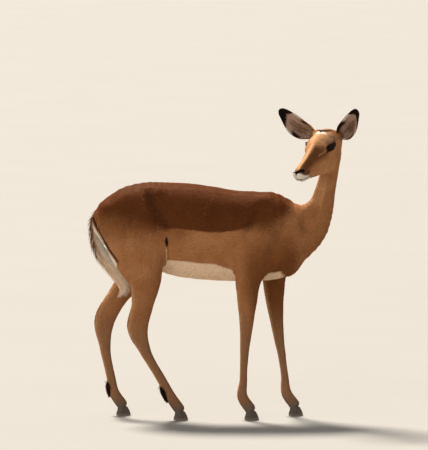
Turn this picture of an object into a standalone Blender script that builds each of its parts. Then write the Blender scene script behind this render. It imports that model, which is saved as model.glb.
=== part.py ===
"""An impala ewe, life size, standing still and looking back over her right shoulder.

The body is one smooth solid, grown from tapering limbs that blend into each other, then
parted into its named pieces by thin cuts. Ears, eyes, hooves, tail and the black gland
tufts are lofts and balls of their own, each seated in a pocket cut for it.
Metres, +Z up, the animal faces +X with its right side towards -Y.
"""
import math

import bmesh
import bpy
import numpy as np
from mathutils import Matrix, Quaternion, Vector
from mathutils.bvhtree import BVHTree

RIGHT = -1
LEFT = 1

# ---- sizes ------------------------------------------------------------------------------
GAP = 0.0003                # air between pieces that meet
SLIVER = 0.00001            # corners closer than this are one
SKIM = 0.0003               # how far inside a filled grid corner counts
BODY_CELL = 0.0060          # grid that the body is grown on
HEAD_CELL = 0.0040          # the same round the head
BODY_FACETS = 4150          # triangles kept for the whole body
# How far each part melts into what is there already.
TRUNK_BLEND = 0.020
LIMB_BLEND = 0.035
HEAD_BLEND = 0.020

# The trunk, station by station from rump to breast: x, back, belly, half width, narrowing
# of the top against the bottom.
TRUNK = (
    (-0.424, 0.805, 0.705, 0.036, 0.00),
    (-0.395, 0.828, 0.650, 0.060, 0.00),
    (-0.350, 0.858, 0.612, 0.082, 0.06),
    (-0.280, 0.886, 0.582, 0.099, 0.10),
    (-0.200, 0.889, 0.556, 0.106, 0.16),
    (-0.120, 0.885, 0.529, 0.113, 0.20),
    (-0.030, 0.873, 0.517, 0.119, 0.22),
    (0.070, 0.857, 0.512, 0.118, 0.26),
    (0.160, 0.852, 0.513, 0.108, 0.34),
    (0.230, 0.838, 0.521, 0.092, 0.36),
    (0.270, 0.805, 0.538, 0.074, 0.20),
    (0.300, 0.755, 0.570, 0.052, 0.00),
)

TRUNK_SIDES = (             # shoulder blade, the same on both sides: x, sideways, z, half sizes
    (0.185, 0.026, 0.790, 0.044, 0.024),
    (0.235, 0.056, 0.710, 0.056, 0.032),
    (0.262, 0.066, 0.640, 0.048, 0.034),
)
SHOULDER_BLEND = 0.05
# Swellings of the trunk, each x, sideways, z, three radii and how far it blends.
HIP_BONE = (-0.232, 0.062, 0.834, 0.030, 0.012, 0.016, 0.05)
SEAT_BONE = (-0.405, 0.030, 0.765, 0.030, 0.026, 0.040, 0.04)
BREAST = (0.268, 0.0, 0.590, 0.055, 0.046, 0.054, 0.04)

# The neck from inside the chest to behind the ears: x, y, z, half depth, half width.
NECK = (
    (0.250, 0.000, 0.668, 0.104, 0.074),
    (0.312, 0.000, 0.688, 0.090, 0.063),
    (0.361, 0.000, 0.736, 0.075, 0.053),
    (0.397, 0.000, 0.797, 0.051, 0.044),
    (0.412, 0.000, 0.853, 0.0415, 0.038),
    (0.4225, -0.002, 0.900, 0.0375, 0.035),
    (0.431, -0.007, 0.950, 0.0365, 0.035),
    (0.437, -0.013, 1.000, 0.0365, 0.037),
    (0.436, -0.021, 1.035, 0.034, 0.037),
)

# Legs: the same girths (half depth, half width) at each station of both legs of a pair.
HIND_GIRTH = (
    (0.119, 0.046), (0.104, 0.054), (0.063, 0.045), (0.0415, 0.029), (0.0395, 0.021),
    (0.0225, 0.0165), (0.0178, 0.0138), (0.0205, 0.0178), (0.0215, 0.0195),
)
HIND_SPREAD = (0.052, 0.072, 0.082, 0.080, 0.075, 0.074, 0.074, 0.075, 0.076)
FORE_GIRTH = (
    (0.088, 0.034), (0.053, 0.039), (0.0365, 0.031), (0.0255, 0.0215), (0.0205, 0.0195),
    (0.0165, 0.0150), (0.0150, 0.0132), (0.0205, 0.0168), (0.0215, 0.0190),
)
FORE_SPREAD = (0.074, 0.078, 0.073, 0.069, 0.067, 0.066, 0.066, 0.066, 0.067)
# Where the stations stand (x, z): hip, thigh, stifle, gaskin, hock, shin, cannon, fetlock,
# coronet; and arm, elbow, forearm, over the knee, knee, shin, cannon, fetlock, coronet.
STANCE = {
    "hind_right": ((-0.312, 0.735), (-0.290, 0.635), (-0.262, 0.530), (-0.270, 0.435),
                   (-0.289, 0.345), (-0.262, 0.262), (-0.198, 0.148), (-0.163, 0.083),
                   (-0.135, 0.043)),
    "hind_left": ((-0.312, 0.735), (-0.300, 0.635), (-0.298, 0.545), (-0.362, 0.455),
                  (-0.416, 0.355), (-0.414, 0.262), (-0.392, 0.145), (-0.378, 0.082),
                  (-0.352, 0.043)),
    "fore_right": ((0.172, 0.640), (0.128, 0.545), (0.120, 0.440), (0.117, 0.350),
                   (0.113, 0.295), (0.109, 0.235), (0.106, 0.150), (0.104, 0.082),
                   (0.130, 0.043)),
    "fore_left": ((0.225, 0.640), (0.222, 0.545), (0.224, 0.440), (0.233, 0.350),
                  (0.240, 0.295), (0.250, 0.235), (0.262, 0.150), (0.270, 0.082),
                  (0.297, 0.043)),
}
HOOF_LENGTH = 0.054
HOOF_HEIGHT = 0.036
CLAW_WIDTH = 0.0185
CLEFT = 0.0030              # open gap between the two claws of a foot
CLAW_HEEL = 0.020           # heel behind the middle of the coronet
CLAW_LEAN = 0.22            # fall of the upper rim towards the toe
CLAW_BOW = 0.10             # how far the toe turns in
# Up a claw: height, length and width as shares of the whole, heel moved forward.
CLAW_RINGS = ((0.0, 1.00, 1.00, 0.0), (0.11, 1.00, 1.02, 0.0), (0.45, 0.86, 1.00, 0.004),
              (1.0, 0.66, 0.86, 0.006))
CLAW_SIDES = 12

# The head turns about a point midway between the eyes.
EYE_MIDDLE = Vector((0.3925, -0.080, 1.031))
HEAD_TURN = math.radians(56.0)      # nose swung from straight back towards the right side
HEAD_DROP = math.radians(18.0)      # nose below the level
# Along the head's middle: forward, up, half depth, half width.
SKULL = ((-0.078, -0.012, 0.038, 0.036), (-0.045, -0.002, 0.047, 0.043),
         (-0.005, -0.004, 0.048, 0.043), (0.035, -0.017, 0.042, 0.036),
         (0.080, -0.031, 0.035, 0.0275), (0.120, -0.041, 0.030, 0.0225),
         (0.150, -0.047, 0.0265, 0.0215), (0.170, -0.051, 0.0225, 0.0205))
JAW = ((-0.028, -0.060, 0.042, 0.033), (0.015, -0.068, 0.040, 0.031),
       (0.060, -0.073, 0.028, 0.0235), (0.110, -0.073, 0.018, 0.0165),
       (0.154, -0.073, 0.0115, 0.0145))
# Swellings on both sides of the head: forward, sideways, up, three radii, blend.
HEAD_SIDES = {
    "cheek": (0.002, 0.0220, -0.062, 0.040, 0.016, 0.038, 0.030),
    "brow": (-0.006, 0.0380, -0.001, 0.026, 0.019, 0.0215, 0.020),
    "temple": (-0.048, 0.0360, 0.014, 0.020, 0.016, 0.020, 0.020),
    "nostril": (0.172, 0.0105, -0.045, 0.014, 0.010, 0.011, 0.008),
    "lip": (0.164, 0.0095, -0.061, 0.018, 0.011, 0.012, 0.010),
}
EYE_PLACE = (0.003, 0.0447, -0.003)  # forward, sideways, up
EYE_RADIUS = 0.0168
EYE_STEPS = 8
EYE_SIDES = 14
EAR_ROOT = (-0.050, 0.042, 0.006)
EAR_LENGTH = 0.180
EAR_WALL = 0.0042
EAR_BEND = 0.010            # how far its middle bows forward
EAR_LEAN = {RIGHT: (0.76, 0.65, 0.12), LEFT: (0.70, 0.70, 0.11)}    # out, up, forward
EAR_TWIST = {RIGHT: math.radians(30), LEFT: math.radians(-10)}      # opening, about the ear
# Along the ear: half width, half opening angle, shift towards the lower edge.
EAR_SHAPE = (
    (0.00, 0.0120, 150, 0.000), (0.13, 0.0180, 140, 0.003), (0.27, 0.0300, 112, 0.009),
    (0.42, 0.0350, 84, 0.012), (0.58, 0.0350, 66, 0.011), (0.76, 0.0270, 56, 0.006),
    (0.89, 0.0190, 50, 0.002), (0.96, 0.0130, 46, 0.001), (1.00, 0.0045, 44, 0.000),
)

# The tail and its brush: x, y, z, half depth, half width.
TAIL = (
    (-0.400, 0.000, 0.782, 0.010, 0.011), (-0.432, 0.002, 0.772, 0.014, 0.015),
    (-0.452, 0.003, 0.745, 0.015, 0.017), (-0.455, 0.005, 0.700, 0.015, 0.016),
    (-0.442, 0.006, 0.650, 0.020, 0.018), (-0.412, 0.006, 0.600, 0.027, 0.020),
    (-0.376, 0.004, 0.556, 0.029, 0.020), (-0.350, 0.002, 0.520, 0.026, 0.017),
    (-0.343, 0.000, 0.492, 0.019, 0.012), (-0.350, -0.001, 0.476, 0.009, 0.007),
)
# The gland tuft: share of the way from cannon to fetlock, distance behind the bone, half depth.
TUFT = ((0.16, 0.011, 0.0060), (0.38, 0.013, 0.0105), (0.68, 0.015, 0.0120),
        (0.93, 0.018, 0.0080), (1.04, 0.021, 0.0035))
TUFT_WIDTH = 1.25           # its half width for a half depth of one

# The plates that part the body. For the pairs: centre, normal, size; y and the normal's y
# are outwards.
NECK_PLATE = ((0.335, 0.0, 0.725), (0.72, 0.0, 0.62), (0.30, 0.46))
HEAD_PLATE = ((-0.064, 0.0, -0.070), (0.613, 0.0, 0.790), (0.17, 0.19))     # on the head
THIGH_PLATE = ((-0.288, 0.084, 0.591), (0.42, -0.50, 1.0), (0.35, 0.180))
ARM_PLATE = ((0.0, 0.083, 0.522), (0.0, -0.70, 1.0), (0.20, 0.150))          # x from the elbow
# Across a leg: station cut at, stations that give the plate's normal, shift up, side.
LEG_PLATES = ((4, 3, 5, -0.004, 0.13), (7, 6, 7, -0.010, 0.08))

BASE_COLOURS = {
    "coat": (0.42, 0.17, 0.06, 0.85), "leg": (0.46, 0.24, 0.11, 0.85),
    "head": (0.38, 0.18, 0.08, 0.85), "ear": (0.30, 0.20, 0.15, 0.85),
    "tail": (0.75, 0.68, 0.58, 0.90), "eye": (0.02, 0.015, 0.012, 0.10),
    "horn": (0.05, 0.042, 0.036, 0.45), "tuft": (0.015, 0.013, 0.012, 0.90),
}


# ---- growing a smooth body ----------------------------------------------------------------
class Grid:
    """A block of cells that holds how far each corner is outside (+) or inside (-)."""

    def __init__(self, *axes):
        self.axes = axes
        self.field = np.full([len(axis) for axis in axes], 1.0, np.float32)

    def block(self, low, high):
        """The slices of the grid that hold the box from low to high."""
        ends = zip(self.axes, low, high)
        return tuple(slice(max(0, np.searchsorted(axis, a) - 1), np.searchsorted(axis, b) + 1)
                     for axis, a, b in ends)

    def corners(self, block):
        """Three open arrays of the corner positions in a block."""
        x, y, z = (axis[part] for axis, part in zip(self.axes, block))
        return x[:, None, None], y[None, :, None], z[None, None, :]


def smooth_rows(rows, step):
    """Rows of numbers, each starting with a point, filled in along a smooth curve."""
    rows = np.array(rows, float)
    lengths = np.linalg.norm(np.diff(rows[:, :3], axis=0), axis=1)
    knots = np.concatenate(([0.0], np.cumsum(lengths)))
    slopes = np.gradient(rows, knots, axis=0)
    places = np.linspace(0.0, knots[-1], max(2, math.ceil(knots[-1] / step) + 1))
    index = np.clip(np.searchsorted(knots, places, side="right") - 1, 0, len(rows) - 2)
    span = lengths[index][:, None]
    t = ((places - knots[index]) / lengths[index])[:, None]
    start = (1 + 2 * t) * (1 - t) ** 2 * rows[index] + t * (1 - t) ** 2 * span * slopes[index]
    finish = t ** 2 * (3 - 2 * t) * rows[index + 1] - t ** 2 * (1 - t) * span * slopes[index + 1]
    return start + finish


def blend_min(a, b, reach):
    """The nearer of two distances, rounded over where they are within reach."""
    share = np.clip(0.5 + 0.5 * (b - a) / reach, 0.0, 1.0)
    return b + (a - b) * share - reach * share * (1.0 - share)


def limb(grid, rows, blend, side=(0.0, 1.0, 0.0), step=0.02):
    """Adds a limb through rows of x, y, z, half depth, half width, narrowing.

    The width runs along side, the depth across both it and the limb's own course.
    """
    rows = [tuple(row) + (0.0,) * (6 - len(row)) for row in rows]
    rows = smooth_rows(rows, step)
    reach = rows[:, 3:5].max() + blend + 0.01
    whole = grid.block(rows[:, :3].min(0) - reach, rows[:, :3].max(0) + reach)
    origin = [part.start for part in whole]
    best = np.full(grid.field[whole].shape, 1.0, np.float32)
    side = Vector(side).normalized()
    for first, second in zip(rows[:-1], rows[1:]):
        a = Vector(first[:3])
        course = Vector(second[:3]) - a
        length = course.length
        course.normalize()
        across = side.cross(course).normalized()
        wide_way = course.cross(across)
        near = max(first[3], first[4], second[3], second[4]) + blend + 0.01
        low = np.minimum(first[:3], second[:3]) - near
        high = np.maximum(first[:3], second[:3]) + near
        part = grid.block(low, high)
        x, y, z = (corner - value for corner, value in zip(grid.corners(part), a))
        along = x * course.x + y * course.y + z * course.z
        t = np.clip(along / length, 0.0, 1.0)
        deep = first[3] + (second[3] - first[3]) * t
        wide = first[4] + (second[4] - first[4]) * t
        narrow = first[5] + (second[5] - first[5]) * t
        v = (x * across.x + y * across.y + z * across.z) / deep
        u = (x * wide_way.x + y * wide_way.y + z * wide_way.z) / wide
        u = u / (1.0 - narrow * np.clip(v, -1.0, 1.0))
        cap = np.minimum(deep, wide)
        past = (along - t * length) / cap
        radius = np.sqrt(u * u + v * v + past * past) + 1e-6
        slope = np.sqrt((u / wide) ** 2 + (v / deep) ** 2 + (past / cap) ** 2) + 1e-6
        distance = (radius - 1.0) * radius / slope
        inner = tuple(slice(p.start - o, p.stop - o) for p, o in zip(part, origin))
        best[inner] = np.minimum(best[inner], distance)
    grid.field[whole] = blend_min(grid.field[whole], best, blend)


def ball(grid, centre, radii, blend, frame=None):
    """Adds an ellipsoid as a very short limb; frame gives its forward and side."""
    forward, side = frame or (Vector((1, 0, 0)), Vector((0, 1, 0)))
    half = Vector(forward) * max(radii[0] - 0.5 * (radii[1] + radii[2]), 0.0005)
    ends = [tuple(Vector(centre) + sign * half) + (radii[2], radii[1]) for sign in (-1, 1)]
    limb(grid, ends, blend, side, step=1.0)


def fill_crossings(field):
    """Fills grid faces whose opposite corners are inside, where the surface would pinch."""
    pinched = True
    while pinched:
        pinched = False
        for one, two in ((0, 1), (0, 2), (1, 2)):
            corners = []
            for a, b in ((0, 0), (1, 0), (1, 1), (0, 1)):
                part = [slice(None)] * 3
                part[one] = slice(a, field.shape[one] - 1 + a)
                part[two] = slice(b, field.shape[two] - 1 + b)
                corners.append(field[tuple(part)])
            first, second, third, fourth = (corner < 0 for corner in corners)
            crossed = (first == third) & (second == fourth) & (first != second)
            for corner in corners:
                corner[crossed] = np.minimum(corner[crossed], -SKIM)
            pinched = pinched or bool(crossed.any())


def surface_of(grid):
    """Corners and four-sided faces of the surface where the field crosses zero."""
    field = grid.field
    fill_crossings(field)
    inside = field < 0
    cells = np.array(field.shape) - 1
    places, owners, quads = [], [], []
    for way in range(3):
        lower = [slice(None)] * 3
        upper = [slice(None)] * 3
        lower[way] = slice(None, -1)
        upper[way] = slice(1, None)
        crossing = np.argwhere(inside[tuple(lower)] != inside[tuple(upper)])
        ahead = crossing.copy()
        ahead[:, way] += 1
        near = field[tuple(crossing.T)]
        far = field[tuple(ahead.T)]
        t = near / (near - far)
        point = np.stack([grid.axes[i][crossing[:, i]] for i in range(3)], axis=1)
        step = grid.axes[way][ahead[:, way]] - grid.axes[way][crossing[:, way]]
        point[:, way] += t * step
        one, two = (way + 1) % 3, (way + 2) % 3
        ring = []
        for back_one, back_two in ((1, 1), (0, 1), (0, 0), (1, 0)):
            cell = crossing.copy()
            cell[:, one] -= back_one
            cell[:, two] -= back_two
            ring.append(np.ravel_multi_index(cell.T, cells))
            places.append(point)
            owners.append(ring[-1])
        ring = np.stack(ring, axis=1)
        flip = inside[tuple(crossing.T)]
        ring[~flip] = ring[~flip][:, ::-1]
        quads.append(ring)
    owners = np.concatenate(owners)
    names, index = np.unique(owners, return_inverse=True)
    count = np.bincount(index)[:, None]
    places = np.concatenate(places)
    total = np.stack([np.bincount(index, places[:, i]) for i in range(3)], axis=1)
    return total / count, np.searchsorted(names, np.concatenate(quads))


def graded_axis(low, high, fine_low, fine_high):
    """Positions along one axis, close together over the head's stretch."""
    before = np.arange(low, fine_low, BODY_CELL)
    middle = np.arange(fine_low, fine_high, HEAD_CELL)
    after = np.arange(fine_high, high, BODY_CELL)
    return np.concatenate((before, middle, after))


def head_frame():
    """The head's forward, left and up directions."""
    forward = Vector((-math.cos(HEAD_TURN) * math.cos(HEAD_DROP),
                      -math.sin(HEAD_TURN) * math.cos(HEAD_DROP), -math.sin(HEAD_DROP)))
    left = Vector((0, 0, 1)).cross(forward).normalized()
    return forward, left, forward.cross(left)


def on_head(forward, sideways, up):
    """A place on the head in the body's own coordinates."""
    ways = head_frame()
    return EYE_MIDDLE + forward * ways[0] + sideways * ways[1] + up * ways[2]


def grow_trunk(grid):
    """Barrel, haunches, shoulders and breast."""
    rows = [(x, 0.0, (back + belly) / 2, (back - belly) / 2, wide, narrow)
            for x, back, belly, wide, narrow in TRUNK]
    limb(grid, rows, TRUNK_BLEND)
    for side in (RIGHT, LEFT):
        limb(grid, [(x, side * y, z, deep, wide) for x, y, z, deep, wide in TRUNK_SIDES],
             SHOULDER_BLEND)
        for x, y, z, *radii, blend in (HIP_BONE, SEAT_BONE):
            ball(grid, (x, side * y, z), radii, blend)
    ball(grid, BREAST[:3], BREAST[3:6], BREAST[6])


def grow_neck(grid):
    """The neck, rising out of the breast to behind the ears."""
    limb(grid, NECK, LIMB_BLEND)


def leg_rows(name):
    """Stations of one leg as rows for limb()."""
    side = RIGHT if name.endswith("right") else LEFT
    girths, spread = (HIND_GIRTH, HIND_SPREAD) if name.startswith("hind") else (FORE_GIRTH, FORE_SPREAD)
    return [(x, side * y, z, deep, wide)
            for (x, z), y, (deep, wide) in zip(STANCE[name], spread, girths)]


def grow_leg(grid, name):
    """One leg down to the coronet."""
    limb(grid, leg_rows(name), LIMB_BLEND, step=0.012)


def grow_head(grid):
    """Skull, jaw, cheeks, brows and muzzle."""
    forward, left, up = head_frame()
    for rows in (SKULL, JAW):
        limb(grid, [tuple(on_head(ahead, 0, high)) + (deep, wide) for ahead, high, deep, wide in rows],
             HEAD_BLEND, left, step=0.012)
    for ahead, sideways, high, *radii, blend in HEAD_SIDES.values():
        for side in (RIGHT, LEFT):
            ball(grid, on_head(ahead, side * sideways, high), radii, blend, (forward, left))


def grow_body():
    """The whole body as one mesh with few facets."""
    grid = Grid(graded_axis(-0.50, 0.55, 0.27, 0.49), graded_axis(-0.28, 0.16, -0.26, 0.03),
                graded_axis(0.0, 1.12, 0.90, 1.10))
    grow_trunk(grid)
    grow_neck(grid)
    for name in STANCE:
        grow_leg(grid, name)
    grow_head(grid)
    points, faces = surface_of(grid)
    body = add_object("body", points.tolist(), faces.tolist())
    fewer = body.modifiers.new("Fewer facets", "DECIMATE")
    fewer.ratio = BODY_FACETS / (2 * len(faces))
    apply_modifiers(body)
    return body


# ---- meshes ---------------------------------------------------------------------------------
def add_object(name, points, faces):
    """A new object from corner points and faces."""
    mesh = bpy.data.meshes.new(name)
    mesh.from_pydata([tuple(point) for point in points], [], [tuple(face) for face in faces])
    obj = bpy.data.objects.new(name, mesh)
    bpy.context.scene.collection.objects.link(obj)
    return obj


def apply_modifiers(obj):
    """Turns an object's modifiers into its own mesh."""
    bpy.context.view_layer.update()
    evaluated = obj.evaluated_get(bpy.context.evaluated_depsgraph_get())
    mesh = bpy.data.meshes.new_from_object(evaluated)
    obj.modifiers.clear()
    old = obj.data
    obj.data = mesh
    bpy.data.meshes.remove(old)


def discard(obj):
    """Removes an object that has been used up."""
    mesh = obj.data
    bpy.data.objects.remove(obj)
    bpy.data.meshes.remove(mesh)


def surface_tree(obj):
    """A search tree of an object's faces."""
    mesh = obj.data
    return BVHTree.FromPolygons([vertex.co for vertex in mesh.vertices],
                                [tuple(face.vertices) for face in mesh.polygons])


def cut(pieces, tool):
    """Takes the tool's shape out of the pieces it crosses; gives the pieces there are then."""
    after = []
    for piece in pieces:
        if not surface_tree(piece).overlap(surface_tree(tool)):
            after.append(piece)
            continue
        boolean = piece.modifiers.new("Cut", "BOOLEAN")
        boolean.operation = "DIFFERENCE"
        boolean.solver = "EXACT"
        boolean.object = tool
        apply_modifiers(piece)
        after += split(piece)
    discard(tool)
    return after


def loft(name, rings):
    """A closed solid through rings of points, capped at both ends."""
    count = len(rings[0])
    points = [point for ring in rings for point in ring]
    faces = [tuple(range(count))[::-1], tuple(range(len(points) - count, len(points)))]
    for row in range(len(rings) - 1):
        for i in range(count):
            j = (i + 1) % count
            a, b = row * count, (row + 1) * count
            faces.append((a + i, a + j, b + j, b + i))
    obj = add_object(name, points, faces)
    work = bmesh.new()
    work.from_mesh(obj.data)
    bmesh.ops.recalc_face_normals(work, faces=work.faces)
    work.to_mesh(obj.data)
    work.free()
    return obj


def oval(centre, wide_way, deep_way, wide, deep, sides):
    """A ring of points on an ellipse."""
    angles = [2 * math.pi * i / sides for i in range(sides)]
    return [Vector(centre) + wide * math.cos(a) * Vector(wide_way)
            + deep * math.sin(a) * Vector(deep_way) for a in angles]


def slab(centre, normal, across, size):
    """A thin square plate, as thick as the gap it cuts."""
    normal = Vector(normal).normalized()
    across = (Vector(across) - Vector(across).project(normal)).normalized()
    along = normal.cross(across)
    corners = []
    for lift in (-GAP / 2, GAP / 2):
        for a, b in ((-1, -1), (1, -1), (1, 1), (-1, 1)):
            place = Vector(centre) + lift * normal
            corners.append(place + a * size[0] / 2 * across + b * size[1] / 2 * along)
    return loft("slab", (corners[:4], corners[4:]))


def split(obj):
    """Separates an object into its loose pieces, without the cut's tiny slivers."""
    work = bmesh.new()
    work.from_mesh(obj.data)
    bmesh.ops.remove_doubles(work, verts=work.verts, dist=SLIVER)
    bmesh.ops.dissolve_degenerate(work, edges=work.edges, dist=SLIVER)
    pieces = []
    waiting = list(work.verts)
    seen = set()
    for seed in waiting:
        if seed in seen:
            continue
        found = {seed: 0}
        edge = [seed]
        while edge:
            vert = edge.pop()
            for link in vert.link_edges:
                other = link.other_vert(vert)
                if other not in found:
                    found[other] = len(found)
                    edge.append(other)
        seen.update(found)
        faces = [[found[v] for v in face.verts] for face in work.faces if face.verts[0] in found]
        pieces.append(add_object("piece", [vert.co.copy() for vert in found], faces))
    work.free()
    discard(obj)
    return pieces


# ---- the separate pieces ----------------------------------------------------------------------
def make_eye(side, grow=0.0):
    """An eyeball."""
    forward, left, up = head_frame()
    place = on_head(EYE_PLACE[0], side * EYE_PLACE[1], EYE_PLACE[2])
    radius = EYE_RADIUS + grow
    turn = Matrix((forward, up, left)).transposed()
    rings = []
    for i in range(1, EYE_STEPS):
        angle = math.pi * i / EYE_STEPS
        centre = place + turn @ Vector((0, 0, -side * radius * math.cos(angle)))
        reach = radius * math.sin(angle)
        rings.append(oval(centre, forward, up, reach, reach, EYE_SIDES))
    return loft("eye_" + side_name(side), rings)


def ear_frame(side):
    """Directions of an ear: along it, towards its lower edge, and out of its opening."""
    forward, left, up = head_frame()
    out, lift, ahead = EAR_LEAN[side]
    along = (side * out * left + lift * up + ahead * forward).normalized()
    facing = (forward - forward.project(along)).normalized()
    facing.rotate(Quaternion(along, EAR_TWIST[side]))
    return along, along.cross(facing) * side, facing


def make_ear(side, grow=0.0):
    """A cupped leaf of one thickness, open to the front, on a short round stalk."""
    along, lower, facing = ear_frame(side)
    root = on_head(EAR_ROOT[0], side * EAR_ROOT[1], EAR_ROOT[2])
    rows = [(t * EAR_LENGTH, 0.0, 0.0, half, cup, shift) for t, half, cup, shift in EAR_SHAPE]
    rings = []
    for distance, _, _, half, cup, shift in smooth_rows(rows, 0.0150).tolist():
        t = distance / EAR_LENGTH
        cup = math.radians(cup)
        radius = half / math.sin(min(cup, math.pi / 2))
        middle = root + along * distance + lower * shift + facing * EAR_BEND * math.sin(math.pi * t)
        if not rings:
            middle -= along * grow
        rings.append(cup_ring(middle, lower, facing, radius, cup + grow / radius, EAR_WALL / 2 + grow))
    return loft("ear_" + side_name(side), rings)


def cup_ring(middle, across, facing, radius, cup, wall, steps=7):
    """A thin arc of given opening: its outside there and its inside back."""
    outer, inner = [], []
    for i in range(steps + 1):
        angle = -cup + 2 * cup * i / steps
        way = across * math.sin(angle) - facing * math.cos(angle)
        centre = middle + facing * radius * math.cos(cup) * 0.6
        outer.append(centre + way * (radius + wall))
        inner.append(centre + way * max(radius - wall, 0.0004))
    return outer + inner[::-1]


def make_tail(grow=0.0):
    """The hanging tail with its brush of long hair."""
    return tube("tail", TAIL, 0.027, 10, grow)


def tube(name, rows, step, sides, grow):
    """A loft of ovals along rows of x, y, z, half depth, half width."""
    rows = smooth_rows(rows, step).tolist()
    rings = []
    for i, row in enumerate(rows):
        ahead = Vector(rows[min(i + 1, len(rows) - 1)][:3]) - Vector(rows[max(i - 1, 0)][:3])
        course = ahead.normalized()
        across = Vector((0, 1, 0)).cross(course).normalized()
        rings.append(oval(row[:3], course.cross(across), across, row[4] + grow, row[3] + grow, sides))
    return loft(name, rings)


def make_tuft(name, grow=0.0):
    """The tuft of black hair over the gland behind a hind fetlock."""
    shin, cannon, fetlock = (Vector(row[:3]) for row in leg_rows(name)[5:8])
    down = (fetlock - cannon).normalized()
    back = Vector((0, 1, 0)).cross(down).normalized()
    rows = []
    for t, out, deep in TUFT:
        place = cannon.lerp(fetlock, t) + back * out
        rows.append(tuple(place) + (deep, deep * TUFT_WIDTH))
    return tube("gland_tuft_" + name[5:], rows, 0.02, 8, grow)


def make_claw(name, place, grow=0.0):
    """One horn claw of a foot: place is -1 for the inner, 1 for the outer one."""
    coronet = leg_rows(name)[-1]
    side = RIGHT if name.endswith("right") else LEFT
    centre_y = coronet[1] + side * place * (CLAW_WIDTH + CLEFT) / 2
    heel = coronet[0] - CLAW_HEEL
    rings = []
    for height, length, width, back in CLAW_RINGS:
        reach = HOOF_LENGTH * length + grow
        half = CLAW_WIDTH * width / 2 + grow
        rings.append(claw_ring(heel + back - grow, centre_y, height * HOOF_HEIGHT, reach, half,
                               side * place))
    for point in rings[-1]:
        point.z += grow - CLAW_LEAN * (point.x - heel - CLAW_HEEL)
    for point in rings[0]:
        point.z -= grow
    return loft(name + ("_claw_outer" if place > 0 else "_claw_inner"), rings)


def claw_ring(heel, middle, z, length, half, outward):
    """A half-moon outline: round heel, pointed toe, straighter along the cleft."""
    points = []
    for i in range(CLAW_SIDES):
        angle = 2 * math.pi * i / CLAW_SIDES
        forward = 0.5 - 0.5 * math.cos(angle)
        swell = math.sin(angle) * (1 - 0.42 * forward ** 2)
        bulge = 1.0 if swell * outward > 0 else 0.82
        y = middle + half * swell * bulge - outward * half * CLAW_BOW * forward ** 3
        points.append(Vector((heel + length * forward, y, z)))
    return points


def side_name(side):
    """The word for a side."""
    return "right" if side == RIGHT else "left"


def seated_pieces():
    """Kind, maker and arguments of every piece that sits in a pocket of the body."""
    sides = [(side,) for side in (RIGHT, LEFT)]
    return (
        ("eye", make_eye, sides),
        ("ear", make_ear, sides),
        ("tail", make_tail, [()]),
        ("tuft", make_tuft, [("hind_right",), ("hind_left",)]),
        ("horn", make_claw, [(name, place) for name in STANCE for place in (-1, 1)]),
    )


# ---- parting and naming ---------------------------------------------------------------------
def parting_plates():
    """The thin plates that part the body: neck, head, and each leg in three places."""
    forward, left, up = head_frame()
    centre, normal, size = HEAD_PLATE
    plates = [slab(on_head(*centre), normal[0] * forward + normal[2] * up, left, size)]
    centre, normal, size = NECK_PLATE
    plates.append(slab(centre, normal, (0, 1, 0), size))
    for name in STANCE:
        rows = [Vector(row[:3]) for row in leg_rows(name)]
        side = RIGHT if name.endswith("right") else LEFT
        (x, y, z), normal, size = THIGH_PLATE
        if name.startswith("fore"):
            (x, y, z), normal, size = ARM_PLATE
            x += rows[1].x
        plates.append(slab((x, side * y, z), (normal[0], side * normal[1], normal[2]), (1, 0, 0), size))
        for station, above, below, lift, reach in LEG_PLATES:
            course = rows[above] - rows[below]
            place = rows[station] + course.normalized() * lift
            plates.append(slab(place, course, (0, 1, 0), (reach, reach)))
    return plates


def piece_names():
    """Each body piece's name with a place that lies inside it."""
    places = {"head": on_head(0, 0, -0.02), "neck": Vector((0.41, 0, 0.86)),
              "trunk": Vector((0.0, 0.0, 0.70))}
    for name in STANCE:
        rows = [Vector(row[:3]) for row in leg_rows(name)]
        upper = rows[3] if name.startswith("hind") else rows[2]
        places["leg_" + name + "_upper"] = upper
        places["leg_" + name + "_cannon"] = rows[6].lerp(rows[5], 0.5)
        places["leg_" + name + "_pastern"] = rows[7]
    return places


def name_pieces(pieces):
    """Gives every piece of the body the name whose place is nearest its middle."""
    places = piece_names()
    if len(pieces) != len(places):
        raise ValueError(f"{len(pieces)} pieces for {len(places)} names")
    for piece in sorted(pieces, key=lambda piece: -len(piece.data.vertices)):
        corners = [vertex.co for vertex in piece.data.vertices]
        low = Vector([min(corner[i] for corner in corners) for i in range(3)])
        high = Vector([max(corner[i] for corner in corners) for i in range(3)])
        middle = (low + high) / 2
        piece.name = min(places, key=lambda name: (places[name] - middle).length)
        del places[piece.name]


def paint(obj, kind):
    """A plain material of the piece's own, and smooth shading."""
    red, green, blue, roughness = BASE_COLOURS[kind]
    material = bpy.data.materials.new(obj.name)
    material.use_nodes = True
    shader = material.node_tree.nodes["Principled BSDF"]
    shader.inputs["Base Color"].default_value = (red, green, blue, 1.0)
    shader.inputs["Roughness"].default_value = roughness
    shader.inputs["Metallic"].default_value = 0.0
    material.diffuse_color = (red, green, blue, 1.0)
    obj.data.materials.clear()
    obj.data.materials.append(material)
    for polygon in obj.data.polygons:
        polygon.use_smooth = True


def settle(objects):
    """Moves everything so that the origin is under the middle, on the floor."""
    corners = [vertex.co for obj in objects for vertex in obj.data.vertices]
    low = [min(corner[i] for corner in corners) for i in range(3)]
    high = [max(corner[i] for corner in corners) for i in range(3)]
    shift = Vector((-(low[0] + high[0]) / 2, -(low[1] + high[1]) / 2, -low[2]))
    for obj in objects:
        obj.data.transform(Matrix.Translation(shift))


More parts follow.
